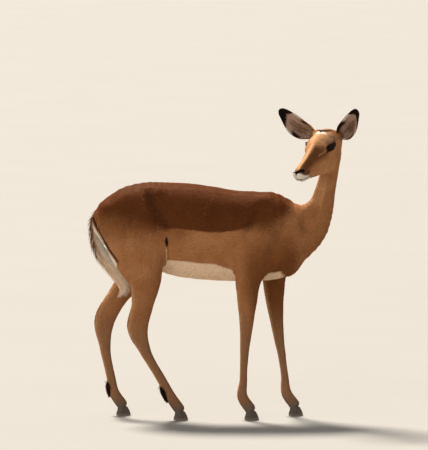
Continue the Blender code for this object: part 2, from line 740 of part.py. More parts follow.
def main():
    """Builds, parts, names and paints the animal."""
    for obj in list(bpy.data.objects):
        bpy.data.objects.remove(obj)
    pieces = [grow_body()]
    for plate in parting_plates():
        pieces = cut(pieces, plate)
    extras = []
    for kind, maker, choices in seated_pieces():
        for choice in choices:
            pieces = cut(pieces, maker(*choice, grow=GAP))
            extras.append((maker(*choice), kind))
    name_pieces(pieces)
    for piece in pieces:
        paint(piece, {"head": "head", "neck": "coat", "trunk": "coat"}.get(piece.name, "leg"))
    for extra, kind in extras:
        paint(extra, kind)
    settle(pieces + [extra for extra, kind in extras])


main()
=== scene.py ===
"""A life-size impala ewe for a museum hall, standing still and looking back over her shoulder.

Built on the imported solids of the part. Metres, +Z up, the animal faces +X with its right
side towards -Y.
"""

import math
from functools import reduce

import bmesh
import bpy
import numpy as np
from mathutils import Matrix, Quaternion, Vector
from mathutils.bvhtree import BVHTree


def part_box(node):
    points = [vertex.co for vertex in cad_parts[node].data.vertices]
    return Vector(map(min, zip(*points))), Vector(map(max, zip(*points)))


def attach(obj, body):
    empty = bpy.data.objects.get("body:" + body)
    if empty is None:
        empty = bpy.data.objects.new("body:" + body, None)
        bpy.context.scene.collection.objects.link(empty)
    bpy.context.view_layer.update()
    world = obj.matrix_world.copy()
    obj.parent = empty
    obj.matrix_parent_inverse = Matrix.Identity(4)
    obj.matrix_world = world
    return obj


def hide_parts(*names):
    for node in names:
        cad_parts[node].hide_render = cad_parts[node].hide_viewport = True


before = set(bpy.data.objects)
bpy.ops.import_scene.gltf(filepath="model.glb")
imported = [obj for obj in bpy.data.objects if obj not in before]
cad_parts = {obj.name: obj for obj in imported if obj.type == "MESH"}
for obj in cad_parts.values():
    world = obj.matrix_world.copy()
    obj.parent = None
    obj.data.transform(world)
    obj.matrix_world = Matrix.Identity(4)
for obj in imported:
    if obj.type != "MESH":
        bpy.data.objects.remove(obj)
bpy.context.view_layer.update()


# ---- Hall --------------------------------------------------------------------------------------
# The floor of the hall: smooth pale plaster, poured in one piece and very wide, so that the
# light has no edge to it. One broad lamp hangs high and a little beyond the animal's back, a
# weaker one stands on the near side.
FLOOR_REACH = 400.0
FLOOR_COLOUR = (0.295, 0.275, 0.248)
FLOOR_CLOUDS = 0.03
AIR_COLOUR = (0.94, 0.94, 0.96, 1.0)
AIR_STRENGTH = 0.42
# Degrees up, degrees round from the near side, strength, degrees of spread, colour.
LAMPS = {"top_lamp": (58.0, -150.0, 7.8, 14.0, (1.0, 0.955, 0.88)),
         "near_lamp": (26.0, -28.0, 0.95, 50.0, (1.0, 0.93, 0.84))}
LENS = 427.8
SENSOR = 36.0
CLIP = (1.0, 1000.0)
STAND_OFF = 20.0
VIEW_LIFT = math.radians(5.0)
VIEW_CENTRE = Vector((-0.0365, 0.0478, 0.7247))


def add_object(name, points, faces):
    """A new smooth-shaded object from corner points and faces."""
    mesh = bpy.data.meshes.new(name)
    mesh.from_pydata([tuple(point) for point in points], [], [tuple(face) for face in faces])
    mesh.shade_smooth()
    obj = bpy.data.objects.new(name, mesh)
    bpy.context.scene.collection.objects.link(obj)
    return obj


def set_inputs(node, **values):
    """Sets a node's inputs (by name, or by number as i0, i1) to values or links them to sockets."""
    for key, value in values.items():
        numbered = key[0] == "i" and key[1:].isdigit()
        socket = node.inputs[int(key[1:]) if numbered else key.replace("_", " ")]
        if isinstance(value, bpy.types.NodeSocket):
            node.id_data.links.new(value, socket)
        else:
            socket.default_value = value


def add_node(nodes, kind, out=0, **values):
    """A node with its properties (lower case) and inputs set; gives back one of its outputs."""
    node = nodes.new("ShaderNode" + kind)
    for key, value in values.items():
        if hasattr(node, key):
            setattr(node, key, value)
        else:
            set_inputs(node, **{key: value})
    return node.outputs[out]


def add_ramp(nodes, factor, *stops):
    """A run of colour from one stop to the next, each a place and a colour."""
    colour = add_node(nodes, "ValToRGB", Fac=factor)
    for element, (place, shade) in zip(colour.node.color_ramp.elements, stops):
        element.position, element.color = place, shade
    return colour


def new_material(name, roughness, **extra):
    """A material, its nodes and its main shader, which takes the extra values."""
    material = bpy.data.materials.new(name)
    material.use_nodes = True
    nodes = material.node_tree.nodes
    shader = nodes["Principled BSDF"]
    set_inputs(shader, Roughness=roughness, **extra)
    return material, nodes, shader


floor = add_object("floor", [(x * FLOOR_REACH, y * FLOOR_REACH, 0.0)
                             for x, y in ((-1, -1), (1, -1), (1, 1), (-1, 1))], [(0, 1, 2, 3)])
plaster, nodes, shader = new_material("floor plaster", 0.85)
place = add_node(nodes, "TexCoord", "Object")
clouds = add_node(nodes, "TexNoise", Vector=place, Scale=1.6, Detail=5.0)
darker, paler = (tuple((1 + change) * c for c in FLOOR_COLOUR) + (1.0,)
                 for change in (-FLOOR_CLOUDS, FLOOR_CLOUDS))
set_inputs(shader, Base_Color=add_ramp(nodes, clouds, (0.0, darker), (1.0, paler)))
floor.data.materials.append(plaster)

world = bpy.data.worlds.new("hall air")
world.use_nodes = True
set_inputs(world.node_tree.nodes["Background"], Color=AIR_COLOUR, Strength=AIR_STRENGTH)
bpy.context.scene.world = world
bpy.context.scene.view_settings.view_transform = "Standard"

for name, (height, bearing, strength, spread, colour) in LAMPS.items():
    light = bpy.data.lights.new(name, "SUN")
    light.energy, light.angle, light.color = strength, math.radians(spread), colour
    holder = bpy.data.objects.new(name, light)
    lift, bearing = math.radians(height), math.radians(bearing)
    towards = Vector((math.sin(bearing) * math.cos(lift), -math.cos(bearing) * math.cos(lift),
                      math.sin(lift)))
    holder.rotation_euler = towards.to_track_quat("Z", "Y").to_euler()
    bpy.context.scene.collection.objects.link(holder)

camera = bpy.data.objects.new("camera", bpy.data.cameras.new("camera"))
camera.data.lens, camera.data.sensor_width = LENS, SENSOR
camera.data.clip_start, camera.data.clip_end = CLIP
back = Vector((0.0, -math.cos(VIEW_LIFT), math.sin(VIEW_LIFT)))
camera.location = VIEW_CENTRE + STAND_OFF * back
camera.rotation_euler = back.to_track_quat("Z", "Y").to_euler()
bpy.context.scene.collection.objects.link(camera)
bpy.context.scene.camera = camera


# ---- Skin --------------------------------------------------------------------------------------
# The hide over the whole body from the muzzle to the coronets: one thin sheet drawn over the
# form of bone and muscle, without a seam. It lies deeper than the outline by the depth of the
# coat, which is thin on the face and the lower legs.
RIGHT, LEFT = -1, 1
TRUNK_BLEND, LIMB_BLEND, HEAD_BLEND = 0.020, 0.035, 0.020
SHOULDER_BLEND, SINEW_BLEND = 0.05, 0.004
# x, back, belly, half width, narrowing of the top, from rump to breast.
TRUNK = (
    (-0.424, 0.805, 0.705, 0.036, 0.00), (-0.395, 0.828, 0.650, 0.060, 0.00),
    (-0.350, 0.858, 0.612, 0.082, 0.06), (-0.280, 0.886, 0.582, 0.099, 0.10),
    (-0.200, 0.889, 0.556, 0.106, 0.16), (-0.120, 0.885, 0.529, 0.113, 0.20),
    (-0.030, 0.873, 0.517, 0.119, 0.22), (0.070, 0.857, 0.512, 0.118, 0.26),
    (0.160, 0.852, 0.513, 0.108, 0.34), (0.230, 0.838, 0.521, 0.092, 0.36),
    (0.270, 0.805, 0.538, 0.074, 0.20), (0.300, 0.755, 0.570, 0.052, 0.00),
)
# x, sideways, z, half depth, half width.
SHOULDER_BLADE = ((0.185, 0.026, 0.790, 0.044, 0.024), (0.235, 0.056, 0.710, 0.056, 0.032),
                  (0.262, 0.066, 0.640, 0.048, 0.034))
# Swellings: x, sideways, z, three radii, blend.
HIP_BONE = (-0.232, 0.062, 0.834, 0.030, 0.012, 0.016, 0.05)
SEAT_BONE = (-0.405, 0.030, 0.765, 0.030, 0.026, 0.040, 0.04)
BREAST = (0.268, 0.0, 0.590, 0.055, 0.046, 0.054, 0.04)
# x, y, z, half depth, half width.
NECK = (
    (0.250, 0.000, 0.668, 0.104, 0.074), (0.312, 0.000, 0.688, 0.090, 0.063),
    (0.361, 0.000, 0.736, 0.075, 0.053), (0.397, 0.000, 0.797, 0.051, 0.044),
    (0.412, 0.000, 0.853, 0.0415, 0.038), (0.4225, -0.002, 0.900, 0.0375, 0.035),
    (0.431, -0.007, 0.950, 0.0365, 0.035), (0.437, -0.013, 1.000, 0.0365, 0.037),
    (0.436, -0.021, 1.035, 0.034, 0.037),
)
# Half depth and half width, and the distance from the middle line, at each station of a leg.
HIND_GIRTH = ((0.119, 0.046), (0.104, 0.054), (0.063, 0.045), (0.0415, 0.029), (0.0395, 0.021),
              (0.0225, 0.0165), (0.0178, 0.0138), (0.0205, 0.0178), (0.0215, 0.0195))
HIND_SPREAD = (0.052, 0.072, 0.082, 0.080, 0.075, 0.074, 0.074, 0.075, 0.076)
FORE_GIRTH = ((0.088, 0.034), (0.053, 0.039), (0.0365, 0.031), (0.0255, 0.0215),
              (0.0205, 0.0195), (0.0165, 0.0150), (0.0150, 0.0132), (0.0205, 0.0168),
              (0.0215, 0.0190))
FORE_SPREAD = (0.074, 0.078, 0.073, 0.069, 0.067, 0.066, 0.066, 0.066, 0.067)
# x and z of hip, thigh, stifle, gaskin, hock, shin, cannon, fetlock, coronet, and of arm,
# elbow, forearm, over the knee, knee, shin, cannon, fetlock, coronet.
STANCE = {
    "hind_right": ((-0.312, 0.735), (-0.290, 0.635), (-0.262, 0.530), (-0.270, 0.435),
                   (-0.289, 0.345), (-0.262, 0.262), (-0.198, 0.148), (-0.163, 0.083),
                   (-0.135, 0.043)),
    "hind_left": ((-0.312, 0.735), (-0.300, 0.635), (-0.298, 0.545), (-0.362, 0.455),
                  (-0.416, 0.355), (-0.414, 0.262), (-0.392, 0.145), (-0.378, 0.082),
                  (-0.352, 0.043)),
    "fore_right": ((0.172, 0.640), (0.128, 0.545), (0.120, 0.440), (0.117, 0.350), (0.113, 0.295),
                   (0.109, 0.235), (0.106, 0.150), (0.104, 0.082), (0.130, 0.043)),
    "fore_left": ((0.225, 0.640), (0.222, 0.545), (0.224, 0.440), (0.233, 0.350), (0.240, 0.295),
                  (0.250, 0.235), (0.262, 0.150), (0.270, 0.082), (0.297, 0.043)),
}
# The middle between the eyes, how far the head is turned to the right and dropped, and how far
# forward, sideways and up from that middle each eye sits.
EYE_MIDDLE = Vector((0.3925, -0.080, 1.031))
HEAD_TURN, HEAD_DROP = math.radians(56.0), math.radians(18.0)
EYE_PLACE = (0.003, 0.0447, -0.003)
# Forward, up, half depth, half width.
SKULL = ((-0.078, -0.012, 0.038, 0.036), (-0.045, -0.002, 0.047, 0.043),
         (-0.005, -0.004, 0.048, 0.043), (0.035, -0.017, 0.042, 0.036),
         (0.080, -0.031, 0.035, 0.0275), (0.120, -0.041, 0.030, 0.0225),
         (0.150, -0.047, 0.0265, 0.0215), (0.170, -0.051, 0.0225, 0.0205))
JAW = ((-0.028, -0.060, 0.042, 0.033), (0.015, -0.068, 0.040, 0.031),
       (0.060, -0.073, 0.028, 0.0235), (0.110, -0.073, 0.018, 0.0165),
       (0.154, -0.073, 0.0115, 0.0145))
# Swellings of each side of the head: forward, sideways, up, three radii, blend.
HEAD_SIDES = {
    "cheek": (0.002, 0.0220, -0.062, 0.040, 0.016, 0.038, 0.030),
    "brow": (-0.006, 0.0380, -0.001, 0.026, 0.019, 0.0215, 0.020),
    "tear": (0.024, 0.0300, -0.0090, 0.028, 0.0170, 0.0190, 0.018),
    "ear": (-0.050, 0.0440, 0.0130, 0.020, 0.0170, 0.0190, 0.018),
    "ear bottom": (-0.046, 0.0535, 0.0165, 0.0165, 0.0130, 0.0150, 0.012),
    "temple": (-0.048, 0.0360, 0.014, 0.020, 0.016, 0.020, 0.020),
    "nostril": (0.172, 0.0105, -0.045, 0.014, 0.010, 0.011, 0.008),
    "lip": (0.164, 0.0095, -0.061, 0.018, 0.011, 0.012, 0.010),
}


class Grid:
    """A block of cells that holds how far each corner is outside (+) or inside (-)."""

    def __init__(self, *axes):
        self.axes = axes
        self.field = np.full([len(axis) for axis in axes], 1.0, np.float32)

    def block(self, low, high):
        """The slices of the grid that hold the box from low to high."""
        ends = zip(self.axes, low, high)
        return tuple(slice(max(0, np.searchsorted(axis, a) - 1), np.searchsorted(axis, b) + 1)
                     for axis, a, b in ends)

    def corners(self, block):
        """Three open arrays of the corner positions in a block."""
        x, y, z = (axis[part].astype(np.float32) for axis, part in zip(self.axes, block))
        return x[:, None, None], y[None, :, None], z[None, None, :]


def side_of(name):
    """The side of the body that a name ends with."""
    return RIGHT if name.endswith("right") else LEFT


def smooth_rows(rows, step):
    """Rows of numbers, each starting with a point, filled in along a smooth curve."""
    rows = np.array(rows, float)
    lengths = np.linalg.norm(np.diff(rows[:, :3], axis=0), axis=1)
    knots = np.concatenate(([0.0], np.cumsum(lengths)))
    slopes = np.gradient(rows, knots, axis=0)
    places = np.linspace(0.0, knots[-1], max(2, math.ceil(knots[-1] / step) + 1))
    index = np.clip(np.searchsorted(knots, places, side="right") - 1, 0, len(rows) - 2)
    span = lengths[index][:, None]
    t = ((places - knots[index]) / lengths[index])[:, None]
    start = (1 + 2 * t) * (1 - t) ** 2 * rows[index] + t * (1 - t) ** 2 * span * slopes[index]
    finish = t ** 2 * (3 - 2 * t) * rows[index + 1] - t ** 2 * (1 - t) * span * slopes[index + 1]
    return start + finish


def blend_min(a, b, reach):
    """The nearer of two distances, rounded over where they are within reach."""
    share = np.clip(0.5 + 0.5 * (b - a) / reach, 0.0, 1.0)
    return b + (a - b) * share - reach * share * (1.0 - share)


PAST_BLEND = 0.01


def limb(grid, rows, blend, side=(0.0, 1.0, 0.0), step=0.02, carve=False):
    """Adds, or carves, a limb through rows of x, y, z, half depth, half width, narrowing."""
    rows = [tuple(row) + (0.0,) * (6 - len(row)) for row in rows]
    rows = smooth_rows(rows, step)
    reach = rows[:, 3:5].max() + blend + PAST_BLEND
    whole = grid.block(rows[:, :3].min(0) - reach, rows[:, :3].max(0) + reach)
    origin = [part.start for part in whole]
    best = np.full(grid.field[whole].shape, 1.0, np.float32)
    side = Vector(side).normalized()
    for first, second in zip(rows[:-1], rows[1:]):
        a = Vector(first[:3])
        course = Vector(second[:3]) - a
        length = course.length
        course.normalize()
        across = side.cross(course).normalized()
        wide_way = course.cross(across)
        near = max(first[3], first[4], second[3], second[4]) + blend + PAST_BLEND
        part = grid.block(np.minimum(first[:3], second[:3]) - near,
                          np.maximum(first[:3], second[:3]) + near)
        x, y, z = (corner - np.float32(value) for corner, value in zip(grid.corners(part), a))
        along = x * course.x + y * course.y + z * course.z
        t = np.clip(along / length, 0.0, 1.0)
        deep = first[3] + (second[3] - first[3]) * t
        wide = first[4] + (second[4] - first[4]) * t
        narrow = first[5] + (second[5] - first[5]) * t
        v = (x * across.x + y * across.y + z * across.z) / deep
        u = (x * wide_way.x + y * wide_way.y + z * wide_way.z) / wide
        u = u / (1.0 - narrow * np.clip(v, -1.0, 1.0))
        cap = np.minimum(deep, wide)
        past = (along - t * length) / cap
        radius = np.sqrt(u * u + v * v + past * past) + 1e-6
        slope = np.sqrt((u / wide) ** 2 + (v / deep) ** 2 + (past / cap) ** 2) + 1e-6
        distance = (radius - 1.0) * radius / slope
        inner = tuple(slice(p.start - o, p.stop - o) for p, o in zip(part, origin))
        best[inner] = np.minimum(best[inner], distance)
    if carve:
        grid.field[whole] = -blend_min(-grid.field[whole], best, blend)
    else:
        grid.field[whole] = blend_min(grid.field[whole], best, blend)


SHORTEST = 0.0005


def ball(grid, centre, radii, blend, forward=Vector((1, 0, 0)), side=Vector((0, 1, 0))):
    """Adds a swelling, long the forward way, as a very short limb."""
    half = forward * max(radii[0] - 0.5 * (radii[1] + radii[2]), SHORTEST)
    ends = [tuple(Vector(centre) + sign * half) + (radii[2], radii[1]) for sign in (-1, 1)]
    limb(grid, ends, blend, side, step=1.0)


SKIM = 0.0003


def fill_crossings(field):
    """Fills grid faces whose opposite corners are inside, where the surface would pinch."""
    pinched = True
    while pinched:
        pinched = False
        for one, two in ((0, 1), (0, 2), (1, 2)):
            corners = []
            for a, b in ((0, 0), (1, 0), (1, 1), (0, 1)):
                part = [slice(None)] * 3
                part[one] = slice(a, field.shape[one] - 1 + a)
                part[two] = slice(b, field.shape[two] - 1 + b)
                corners.append(field[tuple(part)])
            first, second, third, fourth = (corner < 0 for corner in corners)
            crossed = (first == third) & (second == fourth) & (first != second)
            for corner in corners:
                corner[crossed] = np.minimum(corner[crossed], -SKIM)
            pinched = pinched or bool(crossed.any())


def surface_of(grid):
    """Corners and four-sided faces of the surface where the field crosses zero."""
    field = grid.field
    fill_crossings(field)
    inside = field < 0
    cells = np.array(field.shape) - 1
    places, owners, quads = [], [], []
    for way in range(3):
        lower, upper = [slice(None)] * 3, [slice(None)] * 3
        lower[way], upper[way] = slice(None, -1), slice(1, None)
        crossing = np.argwhere(inside[tuple(lower)] != inside[tuple(upper)])
        ahead = crossing.copy()
        ahead[:, way] += 1
        near, far = field[tuple(crossing.T)], field[tuple(ahead.T)]
        point = np.stack([grid.axes[i][crossing[:, i]] for i in range(3)], axis=1)
        axis = grid.axes[way]
        point[:, way] += near / (near - far) * (axis[ahead[:, way]] - axis[crossing[:, way]])
        one, two = (way + 1) % 3, (way + 2) % 3
        ring = []
        for back_one, back_two in ((1, 1), (0, 1), (0, 0), (1, 0)):
            cell = crossing.copy()
            cell[:, one] -= back_one
            cell[:, two] -= back_two
            ring.append(np.ravel_multi_index(cell.T, cells))
            places.append(point)
            owners.append(ring[-1])
        ring = np.stack(ring, axis=1)
        flip = inside[tuple(crossing.T)]
        ring[~flip] = ring[~flip][:, ::-1]
        quads.append(ring)
    owners, places = np.concatenate(owners), np.concatenate(places)
    names, index = np.unique(owners, return_inverse=True)
    total = np.stack([np.bincount(index, places[:, i]) for i in range(3)], axis=1)
    return total / np.bincount(index)[:, None], np.searchsorted(names, np.concatenate(quads))


def graded_axis(stretches, end):
    """Positions along one axis; each stretch gives where it starts and its spacing."""
    starts = [start for start, cell in stretches] + [end]
    return np.concatenate([np.arange(a, b - cell / 4, cell)
                           for (a, cell), b in zip(stretches, starts[1:])])


def head_frame():
    """The head's forward, left and up directions."""
    forward = Vector((-math.cos(HEAD_TURN) * math.cos(HEAD_DROP),
                      -math.sin(HEAD_TURN) * math.cos(HEAD_DROP), -math.sin(HEAD_DROP)))
    left = Vector((0, 0, 1)).cross(forward).normalized()
    return forward, left, forward.cross(left)


def on_head(forward, sideways, up):
    """A place on the head in the body's own coordinates."""
    ways = head_frame()
    return EYE_MIDDLE + forward * ways[0] + sideways * ways[1] + up * ways[2]


def leg_rows(name):
    """Stations of one leg as rows for limb()."""
    hind = name.startswith("hind")
    girths, spread = (HIND_GIRTH, HIND_SPREAD) if hind else (FORE_GIRTH, FORE_SPREAD)
    return [(x, side_of(name) * y, z, deep, wide)
            for (x, z), y, (deep, wide) in zip(STANCE[name], spread, girths)]


# Hollows between the muscles: each a blend, and a course of x, sideways, z, half depth, half
# width.
FLESH_HOLLOWS = (
    (0.014, ((0.100, 0.118, 0.668, 0.010, 0.008), (0.078, 0.121, 0.630, 0.010, 0.009),
             (0.058, 0.118, 0.596, 0.010, 0.008))),
    (0.014, ((-0.178, 0.116, 0.700, 0.008, 0.006), (-0.180, 0.118, 0.660, 0.009, 0.010),
             (-0.181, 0.116, 0.615, 0.010, 0.012))),
    (0.020, ((-0.262, 0.104, 0.800, 0.008, 0.004), (-0.300, 0.113, 0.740, 0.010, 0.008),
             (-0.318, 0.128, 0.660, 0.010, 0.007))),
    (0.019, ((-0.240, 0.076, 0.866, 0.009, 0.010), (-0.228, 0.100, 0.825, 0.012, 0.012),
             (-0.208, 0.112, 0.770, 0.013, 0.014), (-0.196, 0.117, 0.715, 0.011, 0.013))),
    (0.036, ((0.188, 0.099, 0.805, 0.009, 0.008), (0.158, 0.112, 0.740, 0.012, 0.010),
             (0.140, 0.118, 0.690, 0.011, 0.010))),
    (0.044, ((0.262, 0.104, 0.710, 0.008, 0.011), (0.244, 0.108, 0.660, 0.009, 0.010),
             (0.226, 0.110, 0.620, 0.007, 0.008))),
    (0.020, ((0.340, 0.060, 0.735, 0.012, 0.010), (0.372, 0.052, 0.800, 0.010, 0.009),
             (0.392, 0.044, 0.870, 0.007, 0.007))),
)
# Hollows beside the bones of the lower legs: first and last station, forward, how far the
# hollow's middle stands out past the half width, half depth, half width.
LEG_HOLLOWS = {
    "hind": ((3.35, 3.9, 0.016, 0.0040, 0.0060, 0.0075),
             (5.1, 6.7, 0.0050, 0.0026, 0.0022, 0.0040)),
    "fore": ((5.0, 6.7, 0.0045, 0.0026, 0.0022, 0.0040),),
}
# Hollows of the head, nostrils, mouth and above the jaw: a blend, and a course of forward,
# sideways, up, half depth, half width.
HEAD_HOLLOWS = (
    (0.002, ((0.1850, 0.0055, -0.0395, 0.0018, 0.0016), (0.1800, 0.0110, -0.0365, 0.0028, 0.0024),
             (0.1720, 0.0155, -0.0365, 0.0026, 0.0026), (0.1650, 0.0190, -0.0405, 0.0016, 0.0018))),
    (0.0035, ((0.1930, 0.0030, -0.0675, 0.0012, 0.0030),
              (0.1800, 0.0160, -0.0680, 0.0012, 0.0030),
              (0.1600, 0.0225, -0.0700, 0.0012, 0.0030),
              (0.1300, 0.0215, -0.0740, 0.0010, 0.0024))),
    (0.014, ((0.1400, 0.0285, -0.0480, 0.0050, 0.0040), (0.0900, 0.0330, -0.0420, 0.0080, 0.0050))),
)
# Depth of the coat at heights of the body, and along y towards the muzzle.
COAT_BY_HEIGHT = ((0.03, 0.0012), (0.33, 0.0016), (0.50, 0.0034), (0.60, 0.0044), (0.84, 0.0044),
                  (0.96, 0.0030), (1.04, 0.0013))
COAT_TO_MUZZLE = ((-0.13, 0.0011), (-0.06, 0.0016), (-0.03, 0.0060))


def on_side(side, rows):
    """Rows of x, sideways and more, set on one side of the body or the head."""
    return [(x, side * y, *rest) for x, y, *rest in rows]


def grow_trunk(grid):
    """Barrel, haunches, shoulders, breast and neck."""
    limb(grid, [(x, 0.0, (back + belly) / 2, (back - belly) / 2, wide, narrow)
                for x, back, belly, wide, narrow in TRUNK], TRUNK_BLEND)
    for side in (RIGHT, LEFT):
        limb(grid, on_side(side, SHOULDER_BLADE), SHOULDER_BLEND)
        for x, y, z, *radii, blend in on_side(side, (HIP_BONE, SEAT_BONE)):
            ball(grid, (x, y, z), radii, blend)
    ball(grid, BREAST[:3], BREAST[3:6], BREAST[6])
    limb(grid, NECK, LIMB_BLEND)


def grow_legs(grid):
    """The four legs down to the coronets, and the hollows of muscle and tendon."""
    for name in STANCE:
        limb(grid, leg_rows(name), LIMB_BLEND, step=0.012)
    for blend, course in FLESH_HOLLOWS:
        for side in (RIGHT, LEFT):
            limb(grid, on_side(side, course), blend, carve=True)
    for name in STANCE:
        rows = np.array(leg_rows(name))
        stations = np.arange(len(rows))
        for first, last, behind, out, deep, wide in LEG_HOLLOWS[name[:4]]:
            for side in (RIGHT, LEFT):
                course = []
                for station in np.linspace(first, last, 4):
                    x, y, z, _, half = (np.interp(station, stations, rows[:, i]) for i in range(5))
                    course.append((x - behind, y + side * (half + out), z, deep, wide))
                limb(grid, course, SINEW_BLEND, step=0.01, carve=True)


def grow_head(grid):
    """Skull, jaw, cheeks, brows and muzzle."""
    forward, left, _ = head_frame()
    for rows in (SKULL, JAW):
        limb(grid, [tuple(on_head(ahead, 0, high)) + (deep, wide)
                    for ahead, high, deep, wide in rows], HEAD_BLEND, left, step=0.012)
    for swelling in HEAD_SIDES.values():
        for *place, a, b, c, blend in on_side(RIGHT, [swelling]) + on_side(LEFT, [swelling]):
            ball(grid, on_head(*place), (a, b, c), blend, forward, left)
    for blend, course in HEAD_HOLLOWS:
        for side in (RIGHT, LEFT):
            limb(grid, [(*on_head(*place), deep, wide)
                        for *place, deep, wide in on_side(side, course)], blend, left,
                 step=0.006, carve=True)


def sink_coat(grid):
    """Moves the surface in by the depth of the coat."""
    axes = grid.axes
    by_height = np.interp(axes[2], *zip(*COAT_BY_HEIGHT)).astype(np.float32)
    to_muzzle = np.interp(axes[1], *zip(*COAT_TO_MUZZLE)).astype(np.float32)
    grid.field += np.minimum(by_height[None, :], to_muzzle[:, None])[None]


X_CELL, Y_CELL, LEG_CELL, BODY_CELL, HEAD_CELL = 0.0052, 0.0049, 0.0046, 0.0068, 0.00245
grid = Grid(graded_axis(((-0.50, X_CELL), (0.27, HEAD_CELL), (0.49, X_CELL)), 0.55),
            graded_axis(((-0.28, HEAD_CELL), (0.01, Y_CELL)), 0.16),
            graded_axis(((0.0, LEG_CELL), (0.42, BODY_CELL), (0.90, HEAD_CELL),
                         (1.10, BODY_CELL)), 1.13))
grow_trunk(grid)
grow_legs(grid)
grow_head(grid)
sink_coat(grid)
skin_points, skin_faces = surface_of(grid)
eye_low, eye_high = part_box("eye_left")
move = (eye_low + eye_high) / 2 - on_head(*EYE_PLACE)
shift = np.array(move)
skin = add_object("skin", skin_points + shift, skin_faces)


def normals_of(obj):
    """The smooth normal at each corner point of an object."""
    normals = np.empty(len(obj.data.vertices) * 3, np.float32)
    obj.data.vertex_normals.foreach_get("vector", normals)
    return normals.reshape(-1, 3)


skin_normals = normals_of(skin)

# The hide is opened out flat: pieces that face the same way are laid side by side.
CHART_MARGIN = 0.006
CHART_FILL = 1.25
FACING = np.array(((1, 0, 0), (-1, 0, 0), (0, 1, 0), (0, -1, 0), (0, 0, 1), (0, 0, -1)), float)
SIDE_FAVOUR = np.array((0.85, 0.85, 1.0, 1.0, 0.9, 0.9))
SMOOTHINGS = 6
HEAD_REACH = 0.24
JAW_BACK, JAW_LOW = -0.05, -0.105


def skull_places(points):
    """Places of the body counted forward, left and up from the middle between the eyes."""
    return (points - np.array(EYE_MIDDLE)) @ np.array(head_frame()).T


def neighbours_of(faces):
    """Pairs of faces that share an edge."""
    owner = np.repeat(np.arange(len(faces)), 4)
    edges = np.sort(np.stack((faces, np.roll(faces, -1, axis=1)), axis=2).reshape(-1, 2), axis=1)
    order = np.lexsort((edges[:, 1], edges[:, 0]))
    same = np.all(edges[order[1:]] == edges[order[:-1]], axis=1)
    return np.stack((owner[order[:-1]][same], owner[order[1:]][same]), axis=1)


def unwrap(points, faces):
    """A flat place for every corner of every face, all at one scale."""
    corners = points[faces]
    centres = corners.mean(1)
    normals = np.cross(corners[:, 2] - corners[:, 0], corners[:, 3] - corners[:, 1])
    normals /= np.linalg.norm(normals, axis=1)[:, None] + 1e-12
    head_ways = np.array(head_frame())
    on_skull = skull_places(centres)
    of_head = ((np.linalg.norm(on_skull, axis=1) < HEAD_REACH)
               & (on_skull[:, 0] > JAW_BACK) & (on_skull[:, 2] > JAW_LOW))
    sides, kinds = len(FACING), 2 * len(FACING)
    kind = np.argmax((normals @ FACING.T) * SIDE_FAVOUR, axis=1)
    head_kind = sides + np.argmax((normals @ (FACING @ head_ways).T) * SIDE_FAVOUR, axis=1)
    kind = np.where(of_head, head_kind, kind)
    pairs = neighbours_of(faces)
    both = np.concatenate((pairs, pairs[:, ::-1]))
    for _ in range(SMOOTHINGS):
        votes = np.bincount(both[:, 0] * kinds + kind[both[:, 1]], minlength=len(faces) * kinds)
        votes = votes.reshape(-1, kinds)
        votes[np.arange(len(faces)), kind] += 1
        kind = votes.argmax(1)
    linked = pairs[kind[pairs[:, 0]] == kind[pairs[:, 1]]]
    chart = np.arange(len(faces))
    while True:
        lowest = np.minimum(chart[linked[:, 0]], chart[linked[:, 1]])
        before = chart.copy()
        np.minimum.at(chart, linked[:, 0], lowest)
        np.minimum.at(chart, linked[:, 1], lowest)
        chart = chart[chart]
        if np.array_equal(before, chart):
            break
    ways = np.concatenate((np.eye(3), head_ways))
    across = np.array((1, 1, 0, 0, 0, 0, 4, 4, 3, 3, 3, 3))[kind]
    upward = np.array((2, 2, 2, 2, 1, 1, 5, 5, 5, 5, 4, 4))[kind]
    flat = np.stack([np.einsum("fcx,fx->fc", corners, ways[way]) for way in (across, upward)],
                    axis=2)
    names, chart = np.unique(chart, return_inverse=True)
    low, high = np.full((len(names), 2), 1e9), np.full((len(names), 2), -1e9)
    np.minimum.at(low, chart, flat.min(1))
    np.maximum.at(high, chart, flat.max(1))
    size = high - low + CHART_MARGIN
    width = math.sqrt((size[:, 0] * size[:, 1]).sum() * CHART_FILL)
    spot = np.zeros((len(names), 2))
    x = y = row = 0.0
    for i in np.argsort(-size[:, 1]):
        if x + size[i, 0] > width and x > 0.0:
            x, y, row = 0.0, y + row, 0.0
        spot[i] = x, y
        x, row = x + size[i, 0], max(row, size[i, 1])
    scale = 1.0 / max(width, y + row)
    return (flat - low[chart][:, None] + spot[chart][:, None] + CHART_MARGIN / 2) * scale


def set_map(obj, corners):
    """Gives an object its flat map."""
    layer = obj.data.uv_layers.new(name="OFBake")
    layer.data.foreach_set("uv", np.ascontiguousarray(corners, np.float32).ravel())


skin_map = unwrap(skin_points, skin_faces)
set_map(skin, skin_map)


# ---- Markings ----------------------------------------------------------------------------------
# An impala's colours: a dark red saddle with a crisp lower edge, tan flanks, white belly and
# inner thighs, black lines down the buttocks and a brown blaze. Painted light and shade are
# kept among them: painted shade in the hollow before the hip, beside the nose and over the
# shoulder, neck base and legs, and painted highlights on the nose, the hip, the whorls of the
# side, the back of the neck and the backs of the legs. Each is kept as how far a place lies
# inside it, counted in half widths of its soft edge, on the hide and on the coat.
SADDLE = (                  # x, height of the saddle's lower edge, softness
    (-0.47, 0.780, 0.030), (-0.430, 0.762, 0.032), (-0.393, 0.760, 0.040),
    (-0.300, 0.735, 0.046), (-0.235, 0.722, 0.032), (-0.190, 0.719, 0.008),
    (-0.176, 0.719, 0.005), (-0.131, 0.723, 0.004), (-0.075, 0.715, 0.004),
    (-0.019, 0.708, 0.004), (0.037, 0.710, 0.004), (0.075, 0.715, 0.005),
    (0.112, 0.719, 0.012), (0.150, 0.720, 0.034), (0.206, 0.718, 0.050),
    (0.262, 0.752, 0.050), (0.300, 0.825, 0.036), (0.335, 0.900, 0.024), (0.365, 1.000, 0.020))
